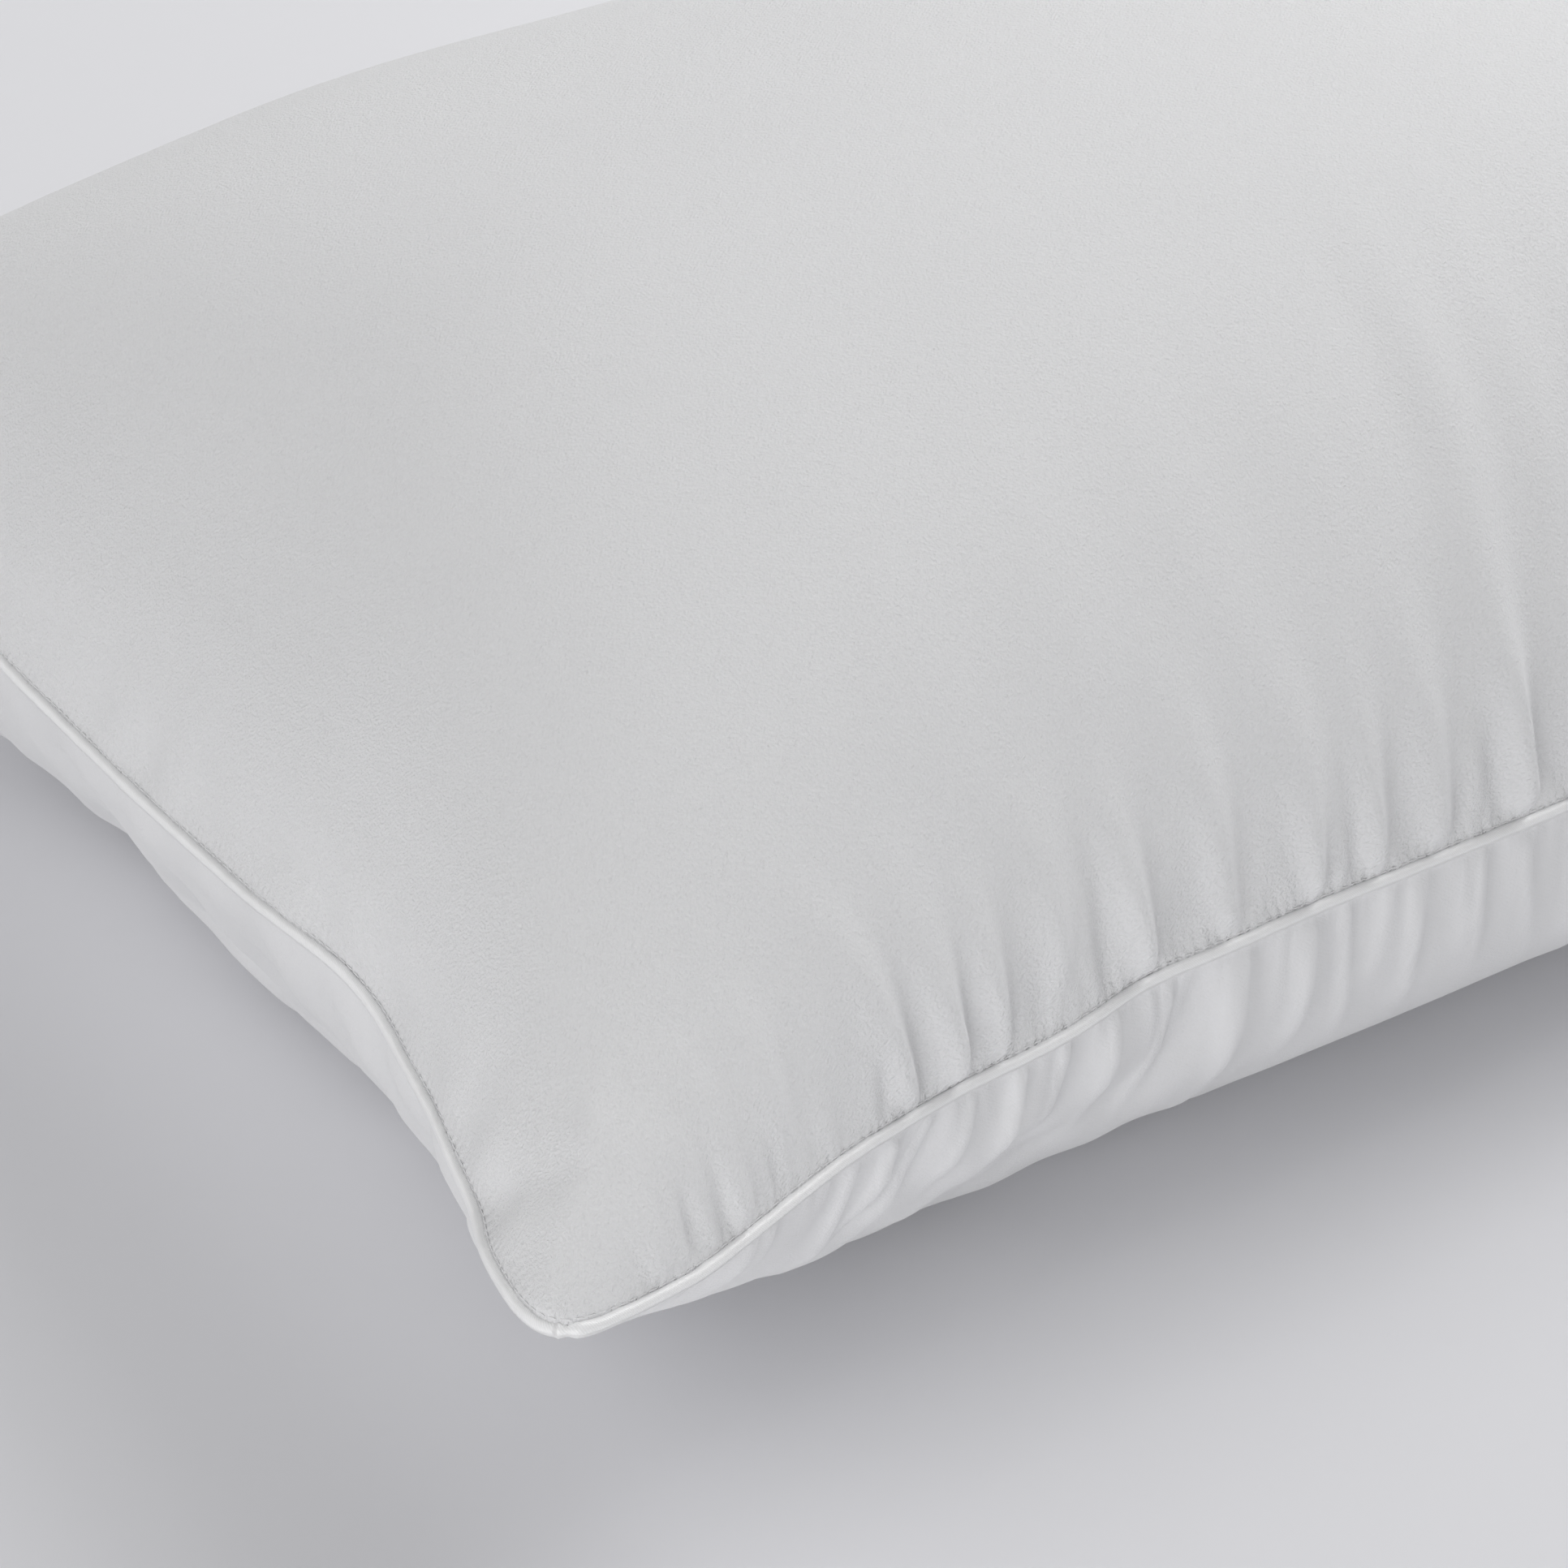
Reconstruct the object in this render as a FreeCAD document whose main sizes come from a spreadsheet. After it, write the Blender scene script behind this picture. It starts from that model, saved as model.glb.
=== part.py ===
import FreeCAD, Part

# A piped bed pillow lying flat on its lower face.
# Origin: middle of the contact patch, on the surface that the pillow rests on.
# X runs along the long side, Y along the short side, Z up.  Millimetres.
# The seam and its piping lie in one level plane part way up the pillow.

import math
import os

import Sketcher

START_POINT = 1         # the points of a line or an arc that a constraint can hold
END_POINT = 2
CENTRE_POINT = 3
H_AXIS = -1             # the horizontal and vertical axes through a sketch's origin
V_AXIS = -2

# Driving dimensions, in millimetres or plain ratios.
DIMENSIONS = (
    ("pillow_length", 720.0),       # corner tip to corner tip, along X
    ("pillow_width", 476.0),        # corner tip to corner tip, along Y
    ("pillow_loft", 202.0),         # resting surface to crown
    ("seam_height", 82.0),          # resting surface to seam plane
    ("long_bow", 38.0),             # how far the middle of a long side is drawn in
    ("short_bow", 31.0),            # how far the middle of a short side is drawn in
    ("corner_radius", 18.0),        # plan radius of the seam at each corner
    ("crown_width", 80.0),          # width of the level strip along the crown
    ("contact_inset", 61.0),        # waist to edge of the contact patch
    ("cloth_thickness", 0.8),
    ("seam_allowance", 10.0),
    ("piping_diameter", 4.2),
    ("piping_wall", 0.5),
    ("cord_diameter", 3.0),
    ("flange_thickness", 1.0),      # two layers of the bias strip
    ("sewing_gap", 0.2),            # clearance between neighbouring layers
    ("fill_gap", 1.0),              # clearance between filling and cloth
    ("fill_edge_inset", 16.0),      # seam line to the edge of the filling
    ("thread_diameter", 0.5),
    ("overlock_reach", 4.0),        # how far the edging covers the raw edges
    ("overlock_thickness", 0.4),
    ("closing_length", 180.0),      # hand-closed opening in one short side
    ("closing_thread", 0.8),
    ("label_width", 32.0),
    ("label_drop", 42.0),
    ("label_thickness", 0.4),
    ("label_turn", 9.0),            # degrees round the short side's arc, from its middle
)

UPPER_POWER = 1.35      # fullness of the upper face between seam and crown
LOWER_POWER = 2.0       # fullness of the lower face between seam and contact patch
UPPER_END_RATIO = 1.15  # the crown strip is drawn in this much more at its ends
LOWER_END_RATIO = 1.0
UPPER_ROUNDING = 0.85   # corner radius of the crown strip, as a share of its half width
LOWER_ROUNDING = 0.60
BOW_POWER = 1.2         # how fast the drawn-in sides straighten away from the seam
LEAST_BOW = 0.004       # share of the bow that even the last contour keeps
UPPER_LEVELS = 8        # contours lofted between seam and crown
LOWER_LEVELS = 7        # contours lofted between seam and contact patch
QUARTER_TURN = math.pi / 2
QUADRANTS = ((1, 1), (-1, 1), (-1, -1), (1, -1))
OUTLINE_ARCS = 2 * len(QUADRANTS)       # a contour's corners and the sides between them

doc = FreeCAD.newDocument("bed_pillow")


def make_sheet():
    """Put the driving dimensions in a spreadsheet, one named cell each."""
    sheet = doc.addObject("Spreadsheet::Sheet", "dims")
    for row, (name, value) in enumerate(DIMENSIONS, start=1):
        sheet.set(f"A{row}", name)
        sheet.set(f"B{row}", str(value))
        sheet.setAlias(f"B{row}", name)
    doc.recompute()
    return sheet


dims = make_sheet()


def new_body(name):
    """A body whose label is the name of its file."""
    body = doc.addObject("PartDesign::Body", name)
    body.Label = name
    return body


def origin_plane(body, role):
    """The body's own origin plane with this role."""
    return next(f for f in body.Origin.OriginFeatures if f.Role == role)


def new_sketch(body, name, role="XY_Plane", height=None):
    """A sketch on one of the body's origin planes, raised by an expression."""
    sketch = body.newObject("Sketcher::SketchObject", name)
    sketch.AttachmentSupport = [(origin_plane(body, role), "")]
    sketch.MapMode = "FlatFace"
    if height:
        sketch.setExpression("AttachmentOffset.Base.z", height)
    return sketch


def bind(sketch, kind, *refs, formula):
    """Add one dimension to a sketch and tie it to the sheet."""
    value = float(sketch.evalExpression(formula))
    index = sketch.addConstraint(Sketcher.Constraint(kind, *refs, value))
    sketch.setExpression(f"Constraints[{index}]", formula)


def arc_between(centre, start, end):
    """Circular arc about a centre, running anticlockwise from start to end."""
    radius = start.distanceToPoint(centre)
    circle = Part.Circle(centre, FreeCAD.Vector(0, 0, 1), radius)
    first = math.atan2(start.y - centre.y, start.x - centre.x)
    last = math.atan2(end.y - centre.y, end.x - centre.x)
    if last < first:
        last += 2 * math.pi
    return Part.ArcOfCircle(circle, first, last)


def add_outline(sketch, half_x, half_y, bow_x, bow_y, radius):
    """Draw one closed contour of the pillow: four round corners joined by four
    shallow arcs that are drawn in at their middles.  Each size is an expression:
    half_x and half_y to the corner tips, bow_x for the long sides, bow_y for the
    short sides, and the corner radius."""
    corner_x = f"(({half_x}) - ({radius}))"
    corner_y = f"(({half_y}) - ({radius}))"
    long_arc = f"((({corner_x})^2 + ({bow_x})^2) / (2 * ({bow_x})) - ({radius}))"
    short_arc = f"((({corner_y})^2 + ({bow_y})^2) / (2 * ({bow_y})) - ({radius}))"
    cx, cy, r, big_x, big_y = (
        float(sketch.evalExpression(text))
        for text in (corner_x, corner_y, radius, long_arc, short_arc)
    )
    far_y = cy + math.sqrt((big_x + r) ** 2 - cx ** 2)
    far_x = cx + math.sqrt((big_y + r) ** 2 - cy ** 2)

    def touch(corner, side, side_radius):
        """Point where a corner arc meets a side arc."""
        return side + (corner - side).normalize() * side_radius

    corners = [FreeCAD.Vector(sx * cx, sy * cy, 0) for sx, sy in QUADRANTS]
    sides = [
        (FreeCAD.Vector(0, far_y, 0), big_x),
        (FreeCAD.Vector(-far_x, 0, 0), big_y),
        (FreeCAD.Vector(0, -far_y, 0), big_x),
        (FreeCAD.Vector(far_x, 0, 0), big_y),
    ]
    corner_ids = []
    side_ids = []
    count = len(corners)
    for turn in range(count):
        corner = corners[turn]
        before_centre, before_radius = sides[turn - 1]
        after_centre, after_radius = sides[turn]
        start = touch(FreeCAD.Vector(corner), before_centre, before_radius)
        end = touch(FreeCAD.Vector(corner), after_centre, after_radius)
        corner_ids.append(sketch.addGeometry(arc_between(corner, start, end), False))
        next_corner = corners[(turn + 1) % count]
        following = touch(FreeCAD.Vector(next_corner), after_centre, after_radius)
        side_ids.append(sketch.addGeometry(arc_between(after_centre, following, end), False))
    for turn in range(count):
        after = (turn + 1) % count
        sketch.addConstraint(
            Sketcher.Constraint("Tangent", corner_ids[turn], END_POINT, side_ids[turn], END_POINT)
        )
        sketch.addConstraint(
            Sketcher.Constraint("Tangent", side_ids[turn], START_POINT, corner_ids[after], START_POINT)
        )
    # The other corner centres mirror the dimensioned one about the axes and the origin.
    mirrors = ((1, (V_AXIS,)), (3, (H_AXIS,)), (2, (H_AXIS, START_POINT)))
    for follower, about in mirrors:
        sketch.addConstraint(
            Sketcher.Constraint(
                "Symmetric", corner_ids[0], CENTRE_POINT, corner_ids[follower], CENTRE_POINT, *about
            )
        )
    bind(sketch, "DistanceX", H_AXIS, START_POINT, corner_ids[0], CENTRE_POINT, formula=corner_x)
    bind(sketch, "DistanceY", H_AXIS, START_POINT, corner_ids[0], CENTRE_POINT, formula=corner_y)
    bind(sketch, "Radius", corner_ids[0], formula=radius)
    bind(sketch, "Radius", side_ids[0], formula=long_arc)
    bind(sketch, "Radius", side_ids[1], formula=short_arc)
    for follower in (1, 2, 3):
        sketch.addConstraint(Sketcher.Constraint("Equal", corner_ids[0], corner_ids[follower]))
    sketch.addConstraint(Sketcher.Constraint("Equal", side_ids[0], side_ids[2]))
    sketch.addConstraint(Sketcher.Constraint("Equal", side_ids[1], side_ids[3]))


def seam_outline(sketch, inset):
    """The seam contour, moved inwards from the piping's centre line."""
    edge = f"(dims.piping_diameter / 2 + ({inset}))"
    add_outline(
        sketch,
        half_x=f"dims.pillow_length / 2 - {edge}",
        half_y=f"dims.pillow_width / 2 - {edge}",
        bow_x="dims.long_bow",
        bow_y="dims.short_bow",
        radius=f"dims.corner_radius - ({inset})",
    )


def level_outline(sketch, share, upper, inset):
    """A contour of the upper or lower face.  share is 0 at the seam and 1 at the
    crown or the contact patch; inset moves the whole contour inwards."""
    power, end_ratio, rounding = (
        (UPPER_POWER, UPPER_END_RATIO, UPPER_ROUNDING)
        if upper
        else (LOWER_POWER, LOWER_END_RATIO, LOWER_ROUNDING)
    )
    waist = "(dims.pillow_width / 2 - dims.long_bow)"
    reach = f"({waist} - dims.crown_width / 2)" if upper else "dims.contact_inset"
    drawn_in = 1 - math.sqrt(max(0.0, 1 - share ** power))
    straighter = (1 - share) ** BOW_POWER
    bow_share = straighter + LEAST_BOW
    edge = f"(dims.piping_diameter / 2 + ({inset}))"
    half_width = f"({waist} + dims.long_bow * {bow_share:.5f} - {reach} * {drawn_in:.5f} - {edge})"
    half_length = (
        f"(dims.pillow_length / 2 - dims.short_bow * {1 - bow_share:.5f}"
        f" - {reach} * {drawn_in * end_ratio:.5f} - {edge})"
    )
    tight = f"(dims.corner_radius - ({inset}))"
    add_outline(
        sketch,
        half_x=half_length,
        half_y=half_width,
        bow_x=f"dims.long_bow * {bow_share:.5f}",
        bow_y=f"dims.short_bow * {bow_share:.5f}",
        radius=f"({tight} * {1 - share:.5f} + {half_width} * {rounding * share:.5f})",
    )


def level_shares(count):
    """Shares of the rise, closer together near the crown or the contact patch."""
    return [math.sin(QUARTER_TURN * step / (count - 1)) for step in range(count)]


def loft_half(body, kind, name, upper, inset, rim, end, rim_inset=None):
    """Loft one face's contours from the height rim to the height end."""
    sketches = []
    count = UPPER_LEVELS if upper else LOWER_LEVELS
    for step, share in enumerate(level_shares(count)):
        height = f"({rim}) + (({end}) - ({rim})) * {share:.5f}"
        sketch = new_sketch(body, f"{name}_contour_{step}", height=height)
        level_outline(sketch, share, upper, inset if step or not rim_inset else rim_inset)
        sketches.append(sketch)
    doc.recompute()
    loft = body.newObject(kind, name)
    loft.Profile = sketches[0]
    loft.Sections = sketches[1:]
    loft.Ruled = False
    doc.recompute()
    return loft


def ring(body, name, outer_inset, inner_inset, bottom, thickness):
    """A flat band that follows the seam, between two insets from the piping."""
    sketch = new_sketch(body, f"{name}_outline", height=bottom)
    seam_outline(sketch, outer_inset)
    seam_outline(sketch, inner_inset)
    pad = body.newObject("PartDesign::Pad", name)
    pad.Profile = sketch
    pad.setExpression("Length", thickness)
    doc.recompute()
    return pad


RESTING_LEVEL = "0 * dims.seam_height"      # the surface that the pillow lies on
PANEL_INSET = "dims.piping_diameter / 2 + dims.sewing_gap"
UPPER_RIM = "dims.seam_height + dims.flange_thickness / 2 + dims.sewing_gap"
LOWER_RIM = "dims.seam_height - dims.flange_thickness / 2 - dims.sewing_gap"


def make_panel(name, upper):
    """One face of the cover: a domed shell with its seam allowance turned in."""
    body = new_body(name)
    rim = UPPER_RIM if upper else LOWER_RIM
    end = "dims.pillow_loft" if upper else RESTING_LEVEL
    inward = "-" if upper else "+"
    loft_half(body, "PartDesign::AdditiveLoft", f"{name}_outside", upper, PANEL_INSET, rim, end)
    loft_half(
        body,
        "PartDesign::SubtractiveLoft",
        f"{name}_inside",
        upper,
        f"{PANEL_INSET} + dims.cloth_thickness",
        rim,
        f"{end} {inward} dims.cloth_thickness",
    )
    bottom = rim if upper else f"{rim} - dims.cloth_thickness"
    ring(
        body,
        f"{name}_allowance",
        f"{PANEL_INSET} + dims.cloth_thickness / 2",
        f"{PANEL_INSET} + dims.seam_allowance",
        bottom,
        "dims.cloth_thickness",
    )
    return body


def make_fill():
    """The fibre filling: one soft core that stays just clear of the cover."""
    body = new_body("fibre_fill")
    inset = f"{PANEL_INSET} + dims.cloth_thickness + dims.fill_gap"
    for upper in (True, False):
        side = "upper" if upper else "lower"
        inward = "-" if upper else "+"
        end = "dims.pillow_loft" if upper else RESTING_LEVEL
        loft_half(
            body,
            "PartDesign::AdditiveLoft",
            f"fill_{side}",
            upper,
            inset,
            "dims.seam_height",
            f"{end} {inward} (dims.cloth_thickness + dims.fill_gap)",
            rim_inset="dims.fill_edge_inset",
        )
    return body


def circle_profile(body, name, diameter, inset, rise):
    """Round profile across the middle of the +X short side of the seam."""
    sketch = new_sketch(body, name, role="XZ_Plane")
    across = f"(dims.pillow_length / 2 - dims.short_bow - dims.piping_diameter / 2 - ({inset}))"
    height = f"(dims.seam_height + ({rise}))"
    centre = FreeCAD.Vector(
        float(sketch.evalExpression(across)), float(sketch.evalExpression(height)), 0
    )
    radius = float(sketch.evalExpression(diameter)) / 2
    disc = sketch.addGeometry(Part.Circle(centre, FreeCAD.Vector(0, 0, 1), radius), False)
    bind(sketch, "DistanceX", H_AXIS, START_POINT, disc, CENTRE_POINT, formula=across)
    bind(sketch, "DistanceY", H_AXIS, START_POINT, disc, CENTRE_POINT, formula=height)
    bind(sketch, "Diameter", disc, formula=diameter)
    return sketch


def sweep_round(body, name, diameter, inset, rise, kind="PartDesign::AdditivePipe"):
    """Carry a round section along the whole seam, to add a cord or cut a bore."""
    profile = circle_profile(body, f"{name}_section", diameter, inset, rise)
    path = new_sketch(body, f"{name}_path", height=f"dims.seam_height + ({rise})")
    seam_outline(path, inset)
    doc.recompute()
    pipe = body.newObject(kind, name)
    pipe.Profile = profile
    pipe.Spine = (path, [f"Edge{number + 1}" for number in range(OUTLINE_ARCS)])
    doc.recompute()
    return pipe


def make_loop(name, diameter, inset="0", rise="0"):
    """A round cord or thread that follows the whole seam."""
    body = new_body(name)
    sweep_round(body, f"{name}_sweep", diameter, inset, rise)
    return body


def make_piping_cover():
    """The bias strip: a tube round the cord, with a flat flange caught in the seam."""
    body = new_body("piping_cover")
    sweep_round(body, "piping_tube", "dims.piping_diameter", "0", "0")
    ring(
        body,
        "piping_flange",
        "dims.piping_diameter / 2 - dims.piping_wall / 2",
        f"{PANEL_INSET} + dims.seam_allowance",
        "dims.seam_height - dims.flange_thickness / 2",
        "dims.flange_thickness",
    )
    solid = body.Shape.Volume
    bore = "dims.piping_diameter - 2 * dims.piping_wall"
    bored = sweep_round(body, "piping_bore", bore, "0", "0", "PartDesign::SubtractivePipe")
    if not bored.Shape.Volume < solid:
        raise RuntimeError("the piping's bore cut nothing")
    return body


def make_overlock():
    """The edging thread that wraps the raw edges of the seam inside the cover."""
    body = new_body("overlock_edging")
    stack = "(dims.flange_thickness / 2 + dims.sewing_gap + dims.cloth_thickness + dims.sewing_gap)"
    raw_edge = f"{PANEL_INSET} + dims.seam_allowance"
    outer = ring(
        body,
        "edging_block",
        f"{raw_edge} - dims.overlock_reach",
        f"{raw_edge} + dims.sewing_gap + dims.overlock_thickness",
        f"dims.seam_height - {stack} - dims.overlock_thickness",
        f"2 * ({stack} + dims.overlock_thickness)",
    )
    whole = outer.Shape.Volume
    sketch = new_sketch(body, "edging_slot_outline", height=f"dims.seam_height + {stack}")
    seam_outline(sketch, f"{raw_edge} - dims.overlock_reach - dims.sewing_gap")
    seam_outline(sketch, f"{raw_edge} + dims.sewing_gap")
    slot = body.newObject("PartDesign::Pocket", "edging_slot")
    slot.Profile = sketch
    slot.setExpression("Length", f"2 * {stack}")
    doc.recompute()
    if not slot.Shape.Volume < whole:
        raise RuntimeError("the overlock slot cut nothing")
    return body


def make_closing_stitches():
    """Hand stitching along the drawn-in middle of the +X side, where the cover
    was closed after filling.  It lies in the crease above the piping."""
    body = new_body("closing_stitches")
    crease = "dims.piping_diameter / 2"
    rise = "dims.piping_diameter / 2 + dims.thread_diameter + dims.closing_thread"
    section = circle_profile(body, "closing_section", "dims.closing_thread", crease, rise)
    path = new_sketch(body, "closing_path", height=f"dims.seam_height + {rise}")
    half = float(path.evalExpression("dims.closing_length / 2"))
    half_y = "(dims.pillow_width / 2 - dims.piping_diameter / 2 - dims.corner_radius)"
    radius = f"(({half_y}^2 + dims.short_bow^2) / (2 * dims.short_bow) - dims.corner_radius + {crease})"
    middle = f"(dims.pillow_length / 2 - dims.short_bow - dims.piping_diameter / 2 - ({crease}))"
    big = float(path.evalExpression(radius))
    centre = FreeCAD.Vector(float(path.evalExpression(middle)) + big, 0, 0)
    swing = math.asin(half / big)
    circle = Part.Circle(centre, FreeCAD.Vector(0, 0, 1), big)
    arc = path.addGeometry(Part.ArcOfCircle(circle, math.pi - swing, math.pi + swing), False)
    path.addConstraint(Sketcher.Constraint("PointOnObject", arc, CENTRE_POINT, H_AXIS))
    path.addConstraint(
        Sketcher.Constraint("Symmetric", arc, START_POINT, arc, END_POINT, H_AXIS)
    )
    bind(path, "DistanceX", H_AXIS, START_POINT, arc, CENTRE_POINT, formula=f"{middle} + {radius}")
    bind(path, "Radius", arc, formula=radius)
    bind(path, "DistanceY", arc, END_POINT, arc, START_POINT, formula="dims.closing_length")
    doc.recompute()
    pipe = body.newObject("PartDesign::AdditivePipe", "closing_sweep")
    pipe.Profile = section
    pipe.Spine = (path, ["Edge1"])
    doc.recompute()
    return body


def make_label():
    """A blank care label that hangs from the crease below the piping."""
    body = new_body("care_label")
    sketch = new_sketch(body, "label_edge", role="XZ_Plane")
    outer_x = "(dims.pillow_length / 2 - dims.short_bow + dims.sewing_gap + dims.label_thickness)"
    inner_x = "(dims.pillow_length / 2 - dims.short_bow - dims.piping_diameter + dims.sewing_gap)"
    top_z = "(dims.seam_height - dims.piping_diameter / 2 - dims.thread_diameter - dims.sewing_gap)"
    low_z = f"({top_z} - dims.label_drop)"
    right, left, top, low, thick = (
        float(sketch.evalExpression(text))
        for text in (outer_x, inner_x, top_z, low_z, "dims.label_thickness")
    )
    corners = [
        (left, top),
        (right, top),
        (right, low),
        (right - thick, low),
        (right - thick, top - thick),
        (left, top - thick),
    ]
    count = len(corners)
    for index, corner in enumerate(corners):
        following = corners[(index + 1) % count]
        sketch.addGeometry(
            Part.LineSegment(FreeCAD.Vector(*corner, 0), FreeCAD.Vector(*following, 0)), False
        )
    for index in range(count):
        after = (index + 1) % count
        sketch.addConstraint(
            Sketcher.Constraint("Coincident", index, END_POINT, after, START_POINT)
        )
        sketch.addConstraint(Sketcher.Constraint("Vertical" if index % 2 else "Horizontal", index))
    bind(sketch, "DistanceX", H_AXIS, START_POINT, 0, END_POINT, formula=outer_x)
    bind(sketch, "DistanceX", H_AXIS, START_POINT, 0, START_POINT, formula=inner_x)
    bind(sketch, "DistanceY", H_AXIS, START_POINT, 0, START_POINT, formula=top_z)
    bind(sketch, "DistanceY", 1, END_POINT, 1, START_POINT, formula="dims.label_drop")
    bind(sketch, "DistanceX", 2, END_POINT, 2, START_POINT, formula="dims.label_thickness")
    bind(sketch, "DistanceY", 5, START_POINT, 5, END_POINT, formula="dims.label_thickness")
    pad = body.newObject("PartDesign::Pad", "label_cloth")
    pad.Profile = sketch
    pad.SideType = "Symmetric"
    pad.setExpression("Length", "dims.label_width")
    # Turn the label about the centre of the short side's arc, clear of the stitching.
    half_y = "(dims.pillow_width / 2 - dims.piping_diameter / 2 - dims.corner_radius)"
    radius = f"(({half_y}^2 + dims.short_bow^2) / (2 * dims.short_bow) - dims.corner_radius)"
    centre = f"(dims.pillow_length / 2 - dims.short_bow - dims.piping_diameter / 2 + {radius})"
    body.setExpression("Placement.Rotation.Angle", "-1 * dims.label_turn")
    body.setExpression("Placement.Base.x", f"{centre} * (1 - cos(dims.label_turn))")
    body.setExpression("Placement.Base.y", f"{centre} * sin(dims.label_turn)")
    doc.recompute()
    return body


def check_and_write(bodies):
    """Stop on any failed object or bad shape, then write one file for each piece."""
    doc.recompute()
    for item in doc.Objects:
        if {"Invalid", "Error"} & set(item.State):
            raise RuntimeError(f"{item.Name} failed: {item.State}")
    for body in bodies:
        if body.Shape.isNull() or not body.Shape.isValid():
            raise RuntimeError(f"{body.Label} has a bad shape")
    os.makedirs("parts", exist_ok=True)
    for body in bodies:
        body.Shape.exportStep(f"parts/{body.Label}.step")
        box = body.Shape.BoundBox
        print(
            f"{body.Label:22s} {box.XLength:7.1f} {box.YLength:7.1f} {box.ZLength:7.1f}"
            f"  z {box.ZMin:6.1f}..{box.ZMax:6.1f}  volume {body.Shape.Volume / 1000:9.1f} cm3"
            f"  solids {len(body.Shape.Solids)}"
        )


# A sewing thread lies in each crease beside the piping: one above it, one below it.
THREAD_INSET = "dims.piping_diameter / 3"
THREAD_REACH = "(dims.piping_diameter / 2 + dims.thread_diameter / 2 + dims.sewing_gap / 4)"
THREAD_RISE = f"sqrt({THREAD_REACH}^2 - ({THREAD_INSET})^2)"

check_and_write(
    [
        make_panel("top_panel", upper=True),
        make_panel("bottom_panel", upper=False),
        make_fill(),
        make_loop("piping_cord", "dims.cord_diameter"),
        make_piping_cover(),
        make_loop("needle_thread", "dims.thread_diameter", THREAD_INSET, THREAD_RISE),
        make_loop("bobbin_thread", "dims.thread_diameter", THREAD_INSET, f"0 - {THREAD_RISE}"),
        make_overlock(),
        make_closing_stitches(),
        make_label(),
    ]
)
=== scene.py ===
"""Looks of a plump white bed pillow with a piped edge, lying on a pale floor.

Metres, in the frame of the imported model: X along the long side, Y along the short side, Z
up, origin in the middle of the contact patch.  A table in millimetres says so.  The cover is
cut flat, blown up as cloth and settled on the floor, then gathered along its piping.
"""
import math

import bpy
import numpy as np
from mathutils import Matrix, Vector, noise


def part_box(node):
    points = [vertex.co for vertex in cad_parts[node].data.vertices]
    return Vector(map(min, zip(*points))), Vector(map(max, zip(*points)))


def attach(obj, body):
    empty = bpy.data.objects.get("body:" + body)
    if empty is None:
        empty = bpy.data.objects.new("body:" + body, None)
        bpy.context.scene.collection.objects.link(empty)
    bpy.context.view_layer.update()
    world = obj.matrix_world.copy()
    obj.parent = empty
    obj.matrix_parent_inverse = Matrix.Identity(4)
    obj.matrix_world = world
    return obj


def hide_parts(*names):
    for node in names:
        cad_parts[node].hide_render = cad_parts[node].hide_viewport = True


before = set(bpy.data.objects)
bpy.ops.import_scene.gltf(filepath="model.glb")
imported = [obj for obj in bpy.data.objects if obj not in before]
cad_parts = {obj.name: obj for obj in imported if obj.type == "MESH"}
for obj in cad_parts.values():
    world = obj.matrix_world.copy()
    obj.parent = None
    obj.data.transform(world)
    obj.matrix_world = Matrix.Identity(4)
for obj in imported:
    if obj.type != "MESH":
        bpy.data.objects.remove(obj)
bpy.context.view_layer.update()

MM = 0.001
PIPE_LOW, PIPE_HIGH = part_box("piping_cover")
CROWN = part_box("top_panel")[1][2]
PIPE_RADIUS = (PIPE_HIGH[2] - PIPE_LOW[2]) / 2

# The cover as it is cut: two rectangles with rounded corners.
CUT_LENGTH = 750 * MM
CUT_WIDTH = 500 * MM
CUT_RADIUS = 24 * MM

# Cloth simulation of the flat cover.
SIM_STEP = 12.5 * MM
SIM_FRAMES = 36
SIM_GRAVITY = 0.06
SIM_CLOTH = {
    "quality": 5,
    "mass": 0.1,
    "air_damping": 5,
    "tension_stiffness": 80,
    "compression_stiffness": 5,
    "shear_stiffness": 5,
    "bending_stiffness": 0.05,
    "tension_damping": 5,
    "compression_damping": 5,
    "shear_damping": 5,
    "use_pressure": True,
    "uniform_pressure_force": 3.4,
}
START_HEIGHT = 85 * MM
START_PUFF = 12 * MM


def smooth(x):
    """0 below 0, 1 above 1, and an even rise between."""
    x = np.clip(x, 0.0, 1.0)
    return x * x * (3 - 2 * x)


# ---------------- shape of the cover


def envelope(columns, rows):
    """A flat two-layer envelope: points, faces and the point numbers of each layer."""
    points = []
    layers = []
    shared = {}
    for side in (1, -1):
        numbers = np.zeros((columns + 1, rows + 1), int)
        for i in range(columns + 1):
            for j in range(rows + 1):
                on_edge = i in (0, columns) or j in (0, rows)
                if on_edge and side < 0:
                    numbers[i, j] = shared[i, j]
                    continue
                u = 2 * i / columns - 1
                v = 2 * j / rows - 1
                puff = START_PUFF * math.sqrt((1 - u * u) * (1 - v * v))
                numbers[i, j] = shared[i, j] = len(points)
                points.append((u * CUT_LENGTH / 2, v * CUT_WIDTH / 2, START_HEIGHT + side * puff))
        layers.append(numbers)
    faces = []
    for side, numbers in zip((1, -1), layers):
        for i in range(columns):
            for j in range(rows):
                ring = [numbers[i, j], numbers[i + 1, j], numbers[i + 1, j + 1], numbers[i, j + 1]]
                faces.append([int(n) for n in ring[::side]])
    return points, faces, layers


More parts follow.
